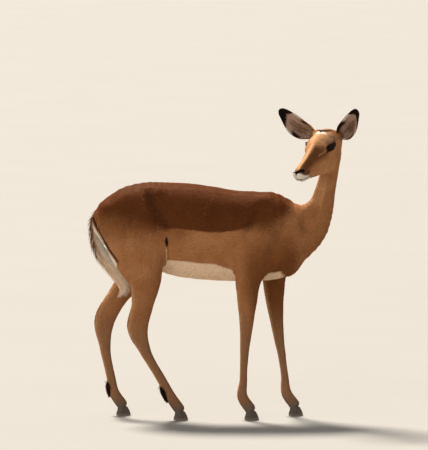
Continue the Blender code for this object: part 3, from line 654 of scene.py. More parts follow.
BELLY = (                   # x, height of the upper edge of the white
    (-0.45, 0.600), (-0.161, 0.600), (-0.112, 0.598), (-0.056, 0.590), (0.000, 0.587),
    (0.037, 0.575), (0.064, 0.564), (0.0785, 0.553), (0.12, 0.545), (0.19, 0.548),
    (0.25, 0.556), (0.30, 0.50))
BELLY_SOFT = 0.003
STRIPE = (                  # height, x of the black line down the buttock
    (0.590, -0.355), (0.597, -0.359), (0.612, -0.370), (0.652, -0.400), (0.703, -0.430),
    (0.757, -0.456), (0.790, -0.462))
STRIPE_HALF = 0.0044
RUMP = -0.32                                # behind this x lies the buttock
THIGH_TOP = 0.66                            # below this height the legs are free of the trunk
FLANK_OUT = 0.07                            # marks of the flank keep this far off the middle
BELLY_FRONT, BELLY_DEEPEST = (0.262, 0.010), (0.500, 0.008)    # where it ends, softness
LINE_ENDS = 0.006
BUTTOCK_WHITE = 0.0105
RIM_LINE = (-0.1785, 0.0014, 0.0012, 0.600, 0.644)    # x, half width, softness, bottom, top
FOLD_LINE = (-0.1735, 0.0013, 0.0010, 0.600, 0.660)
# Where the hair turns: painted shade in the hollow before the hip, and whorls on the side
# painted paler as highlights where their ruffled hair would catch the light.
HIP_SHADE = ((-0.243, 0.878), (-0.231, 0.815), (-0.208, 0.762), (-0.184, 0.728))
LIT_COWLICKS = (((-0.046, 0.766), (-0.020, 0.808), (0.028, 0.856)), ((0.070, 0.828), (0.122, 0.806)))
# Ovals seen from the side or from above: middle, half sizes, slant, how far inside its middle.
FOREHEAD = (0.002, 0.0, 0.050, 0.034, 0.0, 1.3)
CROWN_WHITE = (-0.0110, 0.0, 0.0080, 0.0230, 0.10, 2.0)
CROWN_BLACK = (-0.0215, 0.0, 0.0120, 0.031, 0.95, 2.5)
BACK_OF_EAR = (-0.058, 0.038, 0.024, 0.018, 0.0, 2.0)
GREY_TEMPLE = (-0.006, 0.0190, 0.027, 0.0130, 0.0, 2.0)
FLANK_MARK = (-0.178, 0.671, 0.0060, 0.0185, 0.0, 3.0)
NONE, FULL = -3.0, 3.0
LEG_REACH = 1.16                            # in half sizes of the leg


def rise(value, low, high):
    """0 below low, 1 above high, smooth between."""
    t = np.clip((value - low) / (high - low), 0.0, 1.0)
    return t * t * (3 - 2 * t)


def least(*values):
    """The smallest of several values at each place: inside all of the marks."""
    return reduce(np.minimum, values)


def most(*values):
    """The largest of several values at each place: inside any of the marks."""
    return reduce(np.maximum, values)


def only(here, value):
    """A mark where the first holds, and none elsewhere."""
    return np.where(here, value, NONE)


def band(value, low, high, soft, high_soft=None):
    """How far inside the band from low to high a value lies, in softnesses of its ends."""
    return least((value - low) / soft, (high - value) / (high_soft or soft))


def oval(a, b, shape):
    """How far inside an oval the places (a, b) lie."""
    a_middle, b_middle, a_half, b_half, slant, full = shape
    return full * (1 - np.hypot((a - a_middle + slant * b) / a_half, (b - b_middle) / b_half) ** 2)


def near_course(a, b, course):
    """How far points (a, b) lie from a bent line."""
    best = np.full(len(a), 9.0)
    for (a0, b0), (a1, b1) in zip(course[:-1], course[1:]):
        way = np.array((a1 - a0, b1 - b0))
        t = np.clip(((a - a0) * way[0] + (b - b0) * way[1]) / (way @ way), 0.0, 1.0)
        best = np.minimum(best, np.hypot(a - a0 - t * way[0], b - b0 - t * way[1]))
    return best


def leg_places(points):
    """Where points lie about their nearest leg: forward and outward in half sizes, and which."""
    nearest = np.full(len(points), 99.0)
    ahead, outward = np.zeros(len(points)), np.zeros(len(points))
    hind = np.zeros(len(points), bool)
    for name in STANCE:
        rows = np.array(leg_rows(name))[::-1]
        x, y, deep, half = (np.interp(points[:, 2], rows[:, 2], rows[:, i]) for i in (0, 1, 3, 4))
        u, v = (points[:, 0] - x) / deep, side_of(name) * (points[:, 1] - y) / half
        r = np.hypot(u, v)
        closer = r < nearest
        nearest[closer], ahead[closer], outward[closer] = r[closer], u[closer], v[closer]
        hind[closer] = name.startswith("hind")
    return nearest, ahead, outward, hind


# Lines of the face seen from the side: forward and up from the middle between the eyes.
PALE_LINE = ((-0.002, 0.036), (0.0150, 0.0305), (0.0270, 0.018), (0.0345, 0.003),
             (0.046, -0.009), (0.066, -0.017))
TEAR_LINE = ((0.014, -0.0040), (0.024, -0.0080), (0.034, -0.0130), (0.042, -0.0170))
LIP_WHITE = ((0.090, -0.120), (0.110, -0.0950), (0.124, -0.0785), (0.140, -0.0660),
             (0.160, -0.0580), (0.172, -0.0520), (0.180, -0.0430), (0.200, -0.0320))
MOUTH = ((0.124, -0.0745), (0.140, -0.0730), (0.158, -0.0705), (0.175, -0.0680), (0.190, -0.0665))
# The rim of a nostril: forward, sideways, up.
NOSTRIL = ((0.1845, 0.0060, -0.0375), (0.1790, 0.0115, -0.0345), (0.1710, 0.0150, -0.0345),
           (0.1640, 0.0175, -0.0385))
NOSTRIL_RIM, RIM_NARROWS = 0.0076, 0.40     # half width of the black rim, less towards the tip
TEAR_WIDTH = ((0.016, 0.030, 0.042), (0.0078, 0.0056, 0.0018))
SOCKET_MIDDLE, SOCKET_TILT, SOCKET_HALF = (0.0055, 0.0005), (0.995, 0.100), (0.0300, 0.0145)
SIDE_OF_NOSE, SIDE_OF_FACE, SIDE_OF_SKULL = 0.018, 0.020, 0.026
OFF_SIDE = 9                                # taken off a mark where it would cross the face


def nose_pad(on_skull):
    """How far inside the bare black skin between and round the nostrils a place is."""
    f, s, u = on_skull[:, 0], np.abs(on_skull[:, 1]), on_skull[:, 2]
    places = np.stack((f, s, u), axis=1)
    around = np.full(len(f), 9.0)
    for first, second in zip(NOSTRIL[:-1], NOSTRIL[1:]):
        a, way = np.array(first), np.array(second) - np.array(first)
        t = np.clip(((places - a) @ way) / (way @ way), 0.0, 1.0)
        around = np.minimum(around, np.linalg.norm(places - a - t[:, None] * way, axis=1))
    rim = (NOSTRIL_RIM - RIM_NARROWS * np.clip(f - 0.178, 0.0, 1.0) - around) / 0.0012
    middle = least((0.0090 + 0.46 * (u + 0.033) - s) / 0.0014, (f - 0.1800) / 0.0016,
                   band(u, -0.0500, -0.0330, 0.0014))
    groove = least((0.0011 - s) / 0.0007, (f - 0.176) / 0.002, (u + 0.0670) / 0.0014)
    return most(rim, middle, groove)


def face_marks(points):
    """White, black, brown blaze and painted shade, grey, fawn and painted light, from the head."""
    on_skull = skull_places(points)
    f, s, u = on_skull[:, 0], np.abs(on_skull[:, 1]), on_skull[:, 2]
    here = (np.linalg.norm(on_skull, axis=1) < HEAD_REACH) & (f > -0.09)
    here &= u > -0.13 + 0.3 * np.clip(-f, 0, 1)
    crown = u > 0.02

    white = least((np.interp(f, *zip(*LIP_WHITE)) - u) / 0.0040, (f - 0.112) / 0.014)
    white = most(white, only(crown, oval(f, s, CROWN_WHITE)))

    ahead, lift = f - EYE_PLACE[0] - SOCKET_MIDDLE[0], u - EYE_PLACE[2] - SOCKET_MIDDLE[1]
    level = (SOCKET_TILT[0] * ahead - SOCKET_TILT[1] * lift) / SOCKET_HALF[0]
    high = (SOCKET_TILT[1] * ahead + SOCKET_TILT[0] * lift) / SOCKET_HALF[1]
    socket = 1.5 * (1 - np.hypot(level, high) ** 2)
    tear = (np.interp(f, *TEAR_WIDTH) - near_course(f, u, TEAR_LINE)) / 0.0014
    black = most(only(crown, oval(f, s, CROWN_BLACK)), 2.0 * nose_pad(on_skull),
                 (0.0018 - near_course(f, u, MOUTH)) / 0.0012, only(s > 0.028, 2.2 * socket),
                 tear - OFF_SIDE * (s < SIDE_OF_FACE))

    # The brown blaze on each side of the nose is partly painted shade, and the pale ridge between
    # them is a painted highlight along the lit top of the nose.
    blaze_and_shade = least(band(f, 0.036, 0.180, 0.020, 0.006), (s - 0.0050) / 0.0022,
                  (u + 0.030 + 0.20 * (f - 0.04)) / 0.016)
    nostril_side = 1.1 - 1.4 * np.hypot((f - 0.146) / 0.026, (u + 0.053) / 0.011) ** 2
    blaze_and_shade = most(blaze_and_shade, least(oval(f, s, BACK_OF_EAR), (u - 0.002) / 0.006), nostril_side)

    pale = (0.0018 - near_course(f, u, PALE_LINE)) / 0.0030 - OFF_SIDE * (s < SIDE_OF_NOSE)
    # Painted highlight along the top of the nose.
    lit_ridge = least((0.0060 - s - 0.010 * np.clip(f - 0.10, 0, 1)) / 0.0026,
                  band(f, 0.02, 0.174, 0.01), (u + 0.036) / 0.006)
    cheek = -0.40 - 2.0 * (1 - rise(f, -0.08, -0.02)) - 1.5 * np.clip(blaze_and_shade + 1.2, 0, 3)
    fawn_and_lit = most(np.clip(pale, NONE, -0.15), lit_ridge, only(u > -0.012, oval(f, s, FOREHEAD)), cheek)

    grey = oval(f, u, GREY_TEMPLE) - OFF_SIDE * (s < SIDE_OF_SKULL)
    return [only(here, value) for value in (white, black, blaze_and_shade, grey, fawn_and_lit)]


def body_whites(x, y, z, outward, on_leg, hind):
    """Cream of the belly and inner thighs, white and black of the buttocks."""
    side = np.abs(y)
    belly = np.where(on_leg, NONE, (np.interp(x, *zip(*BELLY)) - z) / BELLY_SOFT)
    belly = least(belly, (BELLY_FRONT[0] - x) / BELLY_FRONT[1],
                  (z - BELLY_DEEPEST[0]) / BELLY_DEEPEST[1])
    inner = least((-outward - 0.30) / 0.22, np.where(hind, z - 0.535, z - 0.548) / 0.02,
                  np.where(hind, FULL, (0.20 - x) / 0.02))
    x_line, half, soft, bottom, top = RIM_LINE
    rim = least((half - np.abs(x - x_line)) / soft, band(z, bottom, top, LINE_ENDS), 0.2)
    cream = most(belly, only(z < THIGH_TOP, inner), only(side > FLANK_OUT, rim))

    lag = np.interp(z, [0.545, 0.635, 0.70], [-0.030, -0.010, 0.0]) * (y > 0)
    behind = x - lag - np.interp(z, *zip(*STRIPE))
    white = most((-BUTTOCK_WHITE - behind) / 0.0022,
                 least((0.30 - outward) / 0.10, (-0.345 - x) / 0.01))
    white = least(white, (z - 0.560 - 0.5 * (0.04 - side)) / 0.02,
                  (0.782 - 1.1 * np.clip(0.045 - side, 0, 1) - z) / 0.016)
    stripe = least((STRIPE_HALF - np.abs(behind)) / 0.0014, band(z, 0.594, 0.775, 0.010, 0.012),
                   (outward - 0.12) / 0.08)
    return cream, only(x < RUMP, white), only(x < RUMP, stripe)


def leg_lines(ahead, across, z, around, hind):
    """Black at heel and hock, brown line down the shins, pale hair and painted light behind the
    legs.
    """
    off_middle = np.abs(across)
    heel = least((0.30 - off_middle) / 0.15, least(-ahead - 0.55, 2.0) / 0.2,
                 np.where(hind, band(z, 0.036, 0.088, LINE_ENDS),
                          band(z, 0.062, 0.083, LINE_ENDS)))
    hock = least((0.32 - off_middle) / 0.16, least(-ahead - 0.7, 1.0) / 0.15, 0.25,
                 band(z, 0.356, 0.378, 0.009))
    shin = least((0.20 - off_middle) / 0.16, least(ahead - 0.6, 1.0) / 0.2,
                 band(z, 0.055, 0.335, 0.02, 0.03))
    # Paler hair down the back of the legs, also a painted highlight where light catches their rear
    # edges.
    pale_and_lit_rear = least((0.55 - off_middle) / 0.35, (-ahead - 0.62) / 0.22,
                   band(z, 0.10, 0.50, 0.03, 0.05), 0.45)
    return (most(heel, only(hind, hock)), 0.55 * np.clip(shin, -5, 1),
            only(around < LEG_REACH, pale_and_lit_rear))


# Partly a deeper coat over the shoulder and neck base, partly painted shade: the shoulder, forearm
# and legs are darkened as if on the shaded side.
def deeper_coat_and_painted_shade(points):
    """How much darker the ground colour is by shoulder, haunch and neck, partly painted shade."""
    x, _, z = points.T
    barrel = most(2.4 * rise(x + 0.25 * (z - 0.6), 0.02, 0.16) - 1.2, -1.2)
    barrel = barrel - 1.7 * rise(z - 0.4 * (x - 0.3), 0.58, 0.80)
    front = rise(x, -0.13, 0.05)
    deep = (front * (barrel - 1.6 * rise(x, 0.27, 0.34))
            + (1 - front) * (1.6 * rise(z, 0.60, 0.74) - 1.2))
    deep = most(deep, -0.30 - 1.5 * least(rise(z, 0.50, 0.66), 1 - rise(x, 0.20, 0.34)))
    to_face = np.linalg.norm(points - np.array(on_head(0.02, 0.0, -0.03)), axis=1)
    return deep - 3.0 * (1 - rise(to_face, 0.09, 0.17))


def in_range(marks):
    """Marks held between none and full."""
    return {name: np.clip(value, NONE, FULL) for name, value in marks.items()}


def markings(points, normals):
    """All the marks at places of the body, by name."""
    x, y, z = points.T
    side = np.abs(y)
    around, ahead, across, hind = leg_places(points)
    edge, soft = (np.interp(x, [row[0] for row in SADDLE], [row[i] for row in SADDLE])
                  for i in (1, 2))
    white_face, black_face, blaze_and_shade, grey, fawn_and_lit = face_marks(points)
    cream, white, black = body_whites(x, y, z, normals[:, 1] * np.sign(y),
                                      (around < LEG_REACH) & (z < THIGH_TOP), hind)
    heel, shin, pale_and_lit_rear = leg_lines(ahead, across, z, around, hind)
    x_line, half, fold_soft, bottom, top = FOLD_LINE
    fold = least((half - np.abs(x - x_line)) / fold_soft, band(z, bottom, top, LINE_ENDS))
    # Painted shade and light worked into the black and fawn marks: a dark band down the hollow
    # before the hip, a painted highlight on the ridge behind it, paler lit streaks on the whorls of
    # the side, and a painted highlight on the back-facing side of the neck.
    over_back = 2.0 * (1 - rise(side, 0.030, 0.080))
    hip_painted_shade = -0.18 - 0.9 * (near_course(x, z, HIP_SHADE) / 0.026) ** 2 - over_back
    hip_painted_light = -0.70 - 0.9 * (near_course(x + 0.026, z, HIP_SHADE[:2]) / 0.012) ** 2 - over_back
    lit_licks = least(near_course(x, z, LIT_COWLICKS[0]) / 0.026, near_course(x, z, LIT_COWLICKS[1]) / 0.016)
    lit_licks = -0.86 - 0.6 * lit_licks ** 2 - over_back
    lit_nape = least((-normals[:, 0] - 0.20) / 0.30, band(z, 0.82, 1.03, 0.04, 0.06), 0.05)
    return in_range({
        "cream": cream,
        "fawn_and_lit": most(fawn_and_lit, hip_painted_light, lit_licks, only(x > 0.22, lit_nape), pale_and_lit_rear),
        "ear": np.full(len(x), NONE),
        "deep": deeper_coat_and_painted_shade(points),
        "saddle": (z - edge) / soft - 4 * rise(z, 0.90, 0.98),
        "white": most(white, white_face),
        "black": most(black, only(side > FLANK_OUT, oval(x, z, FLANK_MARK)), black_face, heel, hip_painted_shade),
        "blaze_and_shade": most(blaze_and_shade, only(side > FLANK_OUT, fold), shin),
        "grey": grey,
        "leg": 1.0 - 2.0 * rise(z, 0.22, 0.50),
        "toe": np.clip((0.062 - z) / 0.022, NONE, 1.0),
        "upright": 1.0 - 2.0 * most(rise(z, 0.52, 0.62) * (1 - rise(x, 0.27, 0.36)), 0.0),
    })


def set_values(obj, values):
    """Stores one number per corner point under each name."""
    for name, value in values.items():
        layer = obj.data.attributes.new(name, "FLOAT", "POINT")
        layer.data.foreach_set("value", np.ascontiguousarray(value, np.float32))


set_values(skin, markings(skin_points, skin_normals))


def new_group(name, inputs, outputs):
    """A node group, its nodes, its named inputs (kind and value) and the node they end in."""
    group = bpy.data.node_groups.new(name, "ShaderNodeTree")
    for socket, (kind, value) in inputs.items():
        made = group.interface.new_socket(name=socket, in_out="INPUT",
                                          socket_type="NodeSocket" + kind)
        made.default_value = value
    for socket, kind in outputs.items():
        group.interface.new_socket(name=socket, in_out="OUTPUT", socket_type="NodeSocket" + kind)
    given, result = group.nodes.new("NodeGroupInput"), group.nodes.new("NodeGroupOutput")
    return group, group.nodes, given.outputs, result


def place_group(nodes, group, **values):
    """The outputs of a node group set down with its own values."""
    node = nodes.new("ShaderNodeGroup")
    node.node_tree = group
    set_inputs(node, **values)
    return node.outputs


def mark_of(nodes, name):
    """The number stored under a name at each corner point."""
    return add_node(nodes, "Attribute", "Fac", attribute_name=name)


def mix(nodes, share, one, two, **extra):
    """One colour going over into another."""
    return add_node(nodes, "Mix", 2, data_type="RGBA", Factor=share, i6=one, i7=two, **extra)


def reckon(nodes, operation, *values):
    """A sum worked out from values and sockets."""
    return add_node(nodes, "Math", operation=operation,
                    **{f"i{number}": value for number, value in enumerate(values)})


# Where a mark begins, broken up by the locks of hair.
mark_edge, nodes, given, result = new_group(
    "mark edge", {"Inside": ("Float", 0.0), "Ragged": ("Float", 0.3), "Locks": ("Float", 0.5)},
    {"Mask": "Float"})
locks = reckon(nodes, "MULTIPLY", reckon(nodes, "SUBTRACT", given["Locks"], 0.5), given["Ragged"])
moved = reckon(nodes, "MULTIPLY_ADD", locks, 2.0, given["Inside"])
set_inputs(result, Mask=add_node(nodes, "MapRange", interpolation_type="SMOOTHSTEP", Value=moved,
                                 From_Min=-1.0, From_Max=1.0))

# The deep colour is a deeper coat and also painted shade; the fawn colour is pale hair and also
# painted highlights; black and blaze also carry painted shade before the hip and beside the nose.
COAT_COLOURS = {
    "Flank": (0.385, 0.162, 0.062, 1.0), "Flank Pale": (0.440, 0.200, 0.086, 1.0),
    "Deep": (0.200, 0.072, 0.023, 1.0), "Fawn_and_lit": (0.620, 0.330, 0.155, 1.0),
    "Cream": (0.880, 0.650, 0.450, 1.0), "Ear": (0.520, 0.330, 0.235, 1.0),
    "Saddle": (0.116, 0.035, 0.0105, 1.0), "Leg": (0.310, 0.152, 0.074, 1.0),
    "Blaze_and_shade": (0.150, 0.058, 0.021, 1.0), "Grey": (0.160, 0.102, 0.072, 1.0),
    "White": (0.86, 0.78, 0.66, 1.0), "Black": (0.010, 0.008, 0.007, 1.0),
    "Toe": (0.185, 0.128, 0.092, 1.0),
}
# How ragged the edge of each mark is; a later mark lies over the ones before it.
MARK_RAGGED = {"deep": 0.3, "leg": 0.5, "toe": 0.6, "saddle": 0.4, "ear": 0.6, "cream": 0.5,
               "grey": 0.8, "blaze_and_shade": 0.5, "fawn_and_lit": 0.8, "white": 0.8, "black": 0.7}
coat_tones, nodes, given, result = new_group(
    "coat tones", {name: ("Color", value) for name, value in COAT_COLOURS.items()},
    {"Color": "Color"})
place = add_node(nodes, "TexCoord", "Object")
locks = add_node(nodes, "TexNoise", Vector=place, Scale=120.0, Detail=2.0)
patches = add_node(nodes, "TexNoise", Vector=place, Scale=14.0, Detail=3.0)
patches = add_node(nodes, "MapRange", Value=patches, From_Min=0.35, From_Max=0.65)
colour = mix(nodes, patches, given["Flank"], given["Flank Pale"])
for mark, ragged in MARK_RAGGED.items():
    edge = place_group(nodes, mark_edge, Inside=mark_of(nodes, mark), Ragged=ragged, Locks=locks)
    colour = mix(nodes, edge["Mask"], colour, given[mark.capitalize()])
set_inputs(result, Color=colour)

# Fine hair lying along the body: level on the barrel, upright on neck and legs.
ALONG, ACROSS = 0.16, 1.0
hair_lines, nodes, given, result = new_group(
    "hair lines", {"Fineness": ("Float", 700.0), "Depth": ("Float", 0.15)},
    {"Height": "Float", "Shade": "Float"})
place = add_node(nodes, "TexCoord", "Object")
level_hair, upright_hair = (
    add_node(nodes, "TexNoise", Vector=add_node(nodes, "Mapping", Vector=place, Scale=stretch),
             Scale=given["Fineness"], Detail=2.0)
    for stretch in ((ALONG, ACROSS, ACROSS), (ACROSS, ACROSS, ALONG)))
way = add_node(nodes, "MapRange", Value=mark_of(nodes, "upright"), From_Min=-1.0, From_Max=1.0)
height = add_node(nodes, "Mix", data_type="FLOAT", Factor=way, i2=level_hair, i3=upright_hair)
shade = add_node(nodes, "MapRange", Value=height, From_Min=0.25, From_Max=0.75,
                 To_Min=reckon(nodes, "SUBTRACT", 1.0, given["Depth"]))
set_inputs(result, Height=height, Shade=shade)

HAIR_GLOSS = {"Specular_IOR_Level": 0.03, "Specular_Tint": (1.0, 0.66, 0.42, 1.0),
              "Sheen_Roughness": 0.45}
hide, nodes, shader = new_material("short coat hide", 0.70, Sheen_Weight=0.10,
                                   Sheen_Tint=(1.0, 0.36, 0.12, 1.0), **HAIR_GLOSS)
tones = place_group(nodes, coat_tones)
lines = place_group(nodes, hair_lines, Fineness=620.0, Depth=0.30)
worked = mix(nodes, 1.0, tones["Color"], lines["Shade"], blend_type="MULTIPLY")
relief = add_node(nodes, "Bump", Strength=0.5, Distance=0.0012, Height=lines["Height"])
set_inputs(shader, Base_Color=worked, Normal=relief)
skin.data.materials.append(hide)
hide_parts(*[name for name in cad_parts
                    if name in ("head", "neck", "trunk") or name.startswith("leg_")])
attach(skin, "root")


# ---- Coat --------------------------------------------------------------------------------------
# The short sleek summer coat: flat tufts of hair rooted in the hide, overlapping like shingles
# and lying backwards and down the legs. They are longest on the flanks, and finest on the face
# and the feet.
TUFT_LIMIT = 32000
HAIR = {                    # length, width, rise of the tip, cover
    "body": np.array((0.0130, 0.0020, 0.0015, 1.05)),
    "neck": np.array((0.0100, 0.0016, 0.0010, 0.95)),
    "foot": np.array((0.0065, 0.0012, 0.0009, 0.75)),
    "face": np.array((0.0052, 0.0010, 0.0007, 0.85)),
    "seam": np.array((0.0052, 0.0012, 0.0009, 0.95)),
    "muzzle": np.array((0.0026, 0.0006, 0.0004, 0.85)),
}
# Where the hair is ruffled and stands up: x, z, reach, how much.
RUFFLES = ((-0.012, 0.785, 0.040, 4.0), (0.095, 0.797, 0.030, 3.4), (-0.210, 0.800, 0.030, 1.6),
           (-0.330, 0.800, 0.045, 1.2), (0.180, 0.700, 0.035, 1.2), (0.372, 0.800, 0.025, 1.0))
HAIR_BEND = 0.16
HAIR_STRAY = 0.13
MAP_PATCH = 0.003
MID_FACE = (0.04, 0.0, -0.03)
NOSE_TIP = (0.180, 0.0, -0.050)
LIE_BODY, LIE_DOWN, LIE_NECK = (-1.0, 0.0, -0.22), (0.0, 0.0, -1.0), (-0.25, 0.0, -1.0)
draw = np.random.default_rng(7)


def unit(vectors):
    """Vectors made one long."""
    return vectors / (np.linalg.norm(vectors, axis=-1, keepdims=True) + 1e-9)


def lie_of(points, normals):
    """Which way the hair lies: back on the body, down neck and legs, back over the face."""
    x, _, z = points.T
    forward, left, up = (np.array(way) for way in head_frame())
    lie = np.tile(LIE_BODY, (len(points), 1))
    lie[:, 2] -= 0.9 * rise(-z, -0.70, -0.52) + 0.35 * rise(x, -0.32, -0.44)
    down = rise(-z, -0.56, -0.46)[:, None]
    lie = lie * (1 - down) + np.array(LIE_DOWN) * down
    neck = (rise(x - 0.6 * (z - 0.70), 0.26, 0.34) * rise(z, 0.62, 0.74))[:, None]
    lie = lie * (1 - neck) + np.array(LIE_NECK) * neck
    skull = skull_places(points)
    near = 1 - rise(np.linalg.norm(skull - MID_FACE, axis=1), 0.095, 0.170)[:, None]
    low = rise(-skull[:, 2] - 0.5 * skull[:, 0], 0.0, 0.09)
    face = -forward - np.outer(0.35 + 1.1 * low, up) + np.outer(0.5 * np.sign(skull[:, 1]), left)
    lie = lie * (1 - near) + face * near
    return unit(lie - normals * np.sum(lie * normals, axis=1)[:, None])


def near_eye(on_skull):
    """How far places of the head, given on its own axes, lie from the nearer eye's middle."""
    folded = np.stack((on_skull[:, 0], np.abs(on_skull[:, 1]), on_skull[:, 2]), axis=1)
    return np.linalg.norm(folded - np.array(EYE_PLACE), axis=1)


def toward(size, name, share):
    """Sizes of tufts taken some of the way to a kind of hair."""
    return size + share[:, None] * (HAIR[name] - size)


def hair_size(points):
    """Length, width, rise and cover of the tufts at places of the body."""
    x, y, z = points.T
    foot = rise(-z, -0.50, -0.30)
    size = HAIR["body"] + np.outer(foot, HAIR["foot"] - HAIR["body"])
    size = toward(size, "neck", rise(x, 0.27, 0.36) * rise(z, 0.66, 0.78))
    to_face = np.linalg.norm(points - np.array(on_head(*MID_FACE)), axis=1)
    size = toward(size, "face", 1 - rise(to_face, 0.10, 0.20))
    flank = rise(-np.hypot(x + 0.178, 0.35 * (z - 0.645)), -0.045, -0.02) * (np.abs(y) > 0.05)
    buttock = rise(-x, 0.335, 0.365) * rise(z, 0.54, 0.58) * rise(-z, -0.81, -0.78)
    belly = rise(-np.abs(np.interp(x, *zip(*BELLY)) - z), -0.03, -0.01) * (np.abs(x) < 0.18)
    size = toward(size, "seam", most(most(flank, buttock, 0.6 * belly) - foot, 0.0))
    ruffle = sum(much * np.exp(-((x - u) ** 2 + (z - v) ** 2) / reach ** 2)
                 for u, v, reach, much in RUFFLES)
    size[:, 2] *= (1 + ruffle * (0.5 + 0.5 * np.sin(x * 330.0 + 4.0 * np.sin(z * 160.0)))
                   + 0.35 * np.sin(x * 90.0) * np.sin(z * 75.0))
    to_nose = np.linalg.norm(points - np.array(on_head(*NOSE_TIP)), axis=1)
    return toward(size, "muzzle", 1 - rise(to_nose, 0.012, 0.045))


def halves(quads):
    """Four-sided faces, or values at their corners, cut into triangles."""
    return np.concatenate((quads[:, [0, 1, 2]], quads[:, [0, 2, 3]]))


def between(values, share):
    """Values at seeds from the values at the three corners round each."""
    return np.einsum("nc,nc...->n...", share, values)


def plant(points, normals, triangles, size):
    """Roots spread over triangles: each one's triangle, shares of its corners, place, normal."""
    size = np.asarray(size)
    density = size[..., 3] / (0.5 * size[..., 0] * size[..., 1])
    corners = points[triangles]
    cross = np.cross(corners[:, 1] - corners[:, 0], corners[:, 2] - corners[:, 0])
    area = 0.5 * np.linalg.norm(cross, axis=1)
    seeds = np.floor(area * density + draw.random(len(triangles))).astype(int)
    pick = np.repeat(np.arange(len(triangles)), seeds)
    a, b = draw.random((2, len(pick)))
    over = a + b > 1
    a[over], b[over] = 1 - a[over], 1 - b[over]
    share = np.stack((1 - a - b, a, b), axis=1)
    return (pick, share, between(points[triangles[pick]], share),
            unit(between(normals[triangles[pick]], share)))


# One tuft: along, across, and height (rise at its middle, rise at its tip, ridge).
TUFT_POINTS = np.array(((0.0, -0.36, -0.10), (0.0, 0.0, 0.02), (0.0, 0.36, -0.10),
                        (0.46, -0.50, 0.45), (0.46, 0.0, 0.62), (0.46, 0.50, 0.45),
                        (1.0, 0.0, 1.0)))
TUFT_FACES = np.array(((0, 4, 1), (0, 3, 4), (1, 5, 2), (1, 4, 5), (3, 6, 4), (4, 6, 5)))
TUFT_ROUND = 0.55
TUFT_TILT = 0.12


def make_tufts(name, roots, normals, lie, size, flat, marks, material):
    """Joined tufts as pieces of limited size, each with its root's marks and map place."""
    count, corners = len(roots), len(TUFT_POINTS)
    stray = draw.normal(0.0, HAIR_STRAY, count)[:, None]
    across = np.cross(normals, lie)
    lie, across = (unit(lie * np.cos(stray) + across * np.sin(stray)),
                   unit(across * np.cos(stray) - lie * np.sin(stray)))
    scale = draw.uniform(0.75, 1.25, (count, 1))
    bend = draw.normal(0.0, HAIR_BEND, (count, 1))
    tone = draw.random(count)
    along, side, high = TUFT_POINTS.T
    length, width, lift = (size[:, i:i + 1] for i in range(3))
    a = along * length * scale
    b = side * width * scale + bend * width * along ** 2 * 3
    h = high * lift
    points = (roots[:, None] + a[..., None] * lie[:, None] + b[..., None] * across[:, None]
              + h[..., None] * normals[:, None])
    shaded = (normals[:, None] + (TUFT_ROUND * side)[None, :, None] * across[:, None]
              + (TUFT_TILT * along)[None, :, None] * lie[:, None])
    shaded = unit(shaded.reshape(-1, 3)).reshape(count, corners, 3)
    spot = flat[:, None] + MAP_PATCH * np.stack((side, along - 0.5), axis=1)[None]
    marks = {key: np.repeat(value, corners) for key, value in marks.items()}
    marks.update(tip=np.tile(along, count), across=np.tile(side, count),
                 tone=np.repeat(tone, corners))
    pieces = math.ceil(count / TUFT_LIMIT)
    for piece in range(pieces):
        part = slice(piece * count // pieces, (piece + 1) * count // pieces)
        some = points[part].reshape(-1, 3)
        starts = corners * np.arange(part.stop - part.start)
        triangles = (TUFT_FACES[None] + starts[:, None, None]).reshape(-1, 3)
        mesh = bpy.data.meshes.new(f"{name}_{piece + 1}")
        mesh.vertices.add(len(some))
        mesh.vertices.foreach_set("co", some.astype(np.float32).ravel())
        mesh.loops.add(triangles.size)
        mesh.loops.foreach_set("vertex_index", triangles.astype(np.int32).ravel())
        mesh.polygons.add(len(triangles))
        mesh.polygons.foreach_set("loop_start", np.arange(0, triangles.size, 3, dtype=np.int32))
        mesh.update(calc_edges=True)
        mesh.shade_smooth()
        obj = bpy.data.objects.new(mesh.name, mesh)
        bpy.context.scene.collection.objects.link(obj)
        set_map(obj, spot[part].reshape(-1, 2)[triangles.ravel()])
        inner = slice(part.start * corners, part.stop * corners)
        set_values(obj, {key: value[inner] for key, value in marks.items()})
        mesh.normals_split_custom_set_from_vertices(shaded[part].reshape(-1, 3).astype(np.float32))
        mesh.materials.append(material)
        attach(obj, "root")


# How a tuft's colour runs: darker and a touch redder at the root, paler at the tip, with
# single hairs showing as fine lines along it, and no two tufts quite alike.
tuft_tones, nodes, given, result = new_group(
    "tuft tones", {"Color": ("Color", (0.5, 0.5, 0.5, 1.0)), "Variety": ("Float", 0.25),
                   "Root Shade": ("Float", 0.75)}, {"Color": "Color", "Height": "Float"})
tone = mark_of(nodes, "tone")
root = add_node(nodes, "MapRange", Value=mark_of(nodes, "tip"), From_Max=0.7,
                To_Min=given["Root Shade"], To_Max=1.04)
variety = add_node(nodes, "MapRange", Value=tone,
                   To_Min=reckon(nodes, "MULTIPLY_ADD", given["Variety"], -0.5, 1.0),
                   To_Max=reckon(nodes, "MULTIPLY_ADD", given["Variety"], 0.5, 1.0))
strand = reckon(nodes, "MULTIPLY_ADD", mark_of(nodes, "across"), 5.0,
                reckon(nodes, "MULTIPLY", tone, 60.0))
single = add_node(nodes, "TexNoise", noise_dimensions="1D", W=strand, Scale=1.6, Detail=1.0)
fine = add_node(nodes, "MapRange", Value=single, From_Min=0.3, From_Max=0.7, To_Min=0.86,
                To_Max=1.08)
shade = reckon(nodes, "MULTIPLY", reckon(nodes, "MULTIPLY", root, variety), fine)
set_inputs(result, Height=single,
           Color=add_node(nodes, "VectorMath", operation="SCALE", i0=given["Color"], Scale=shade))

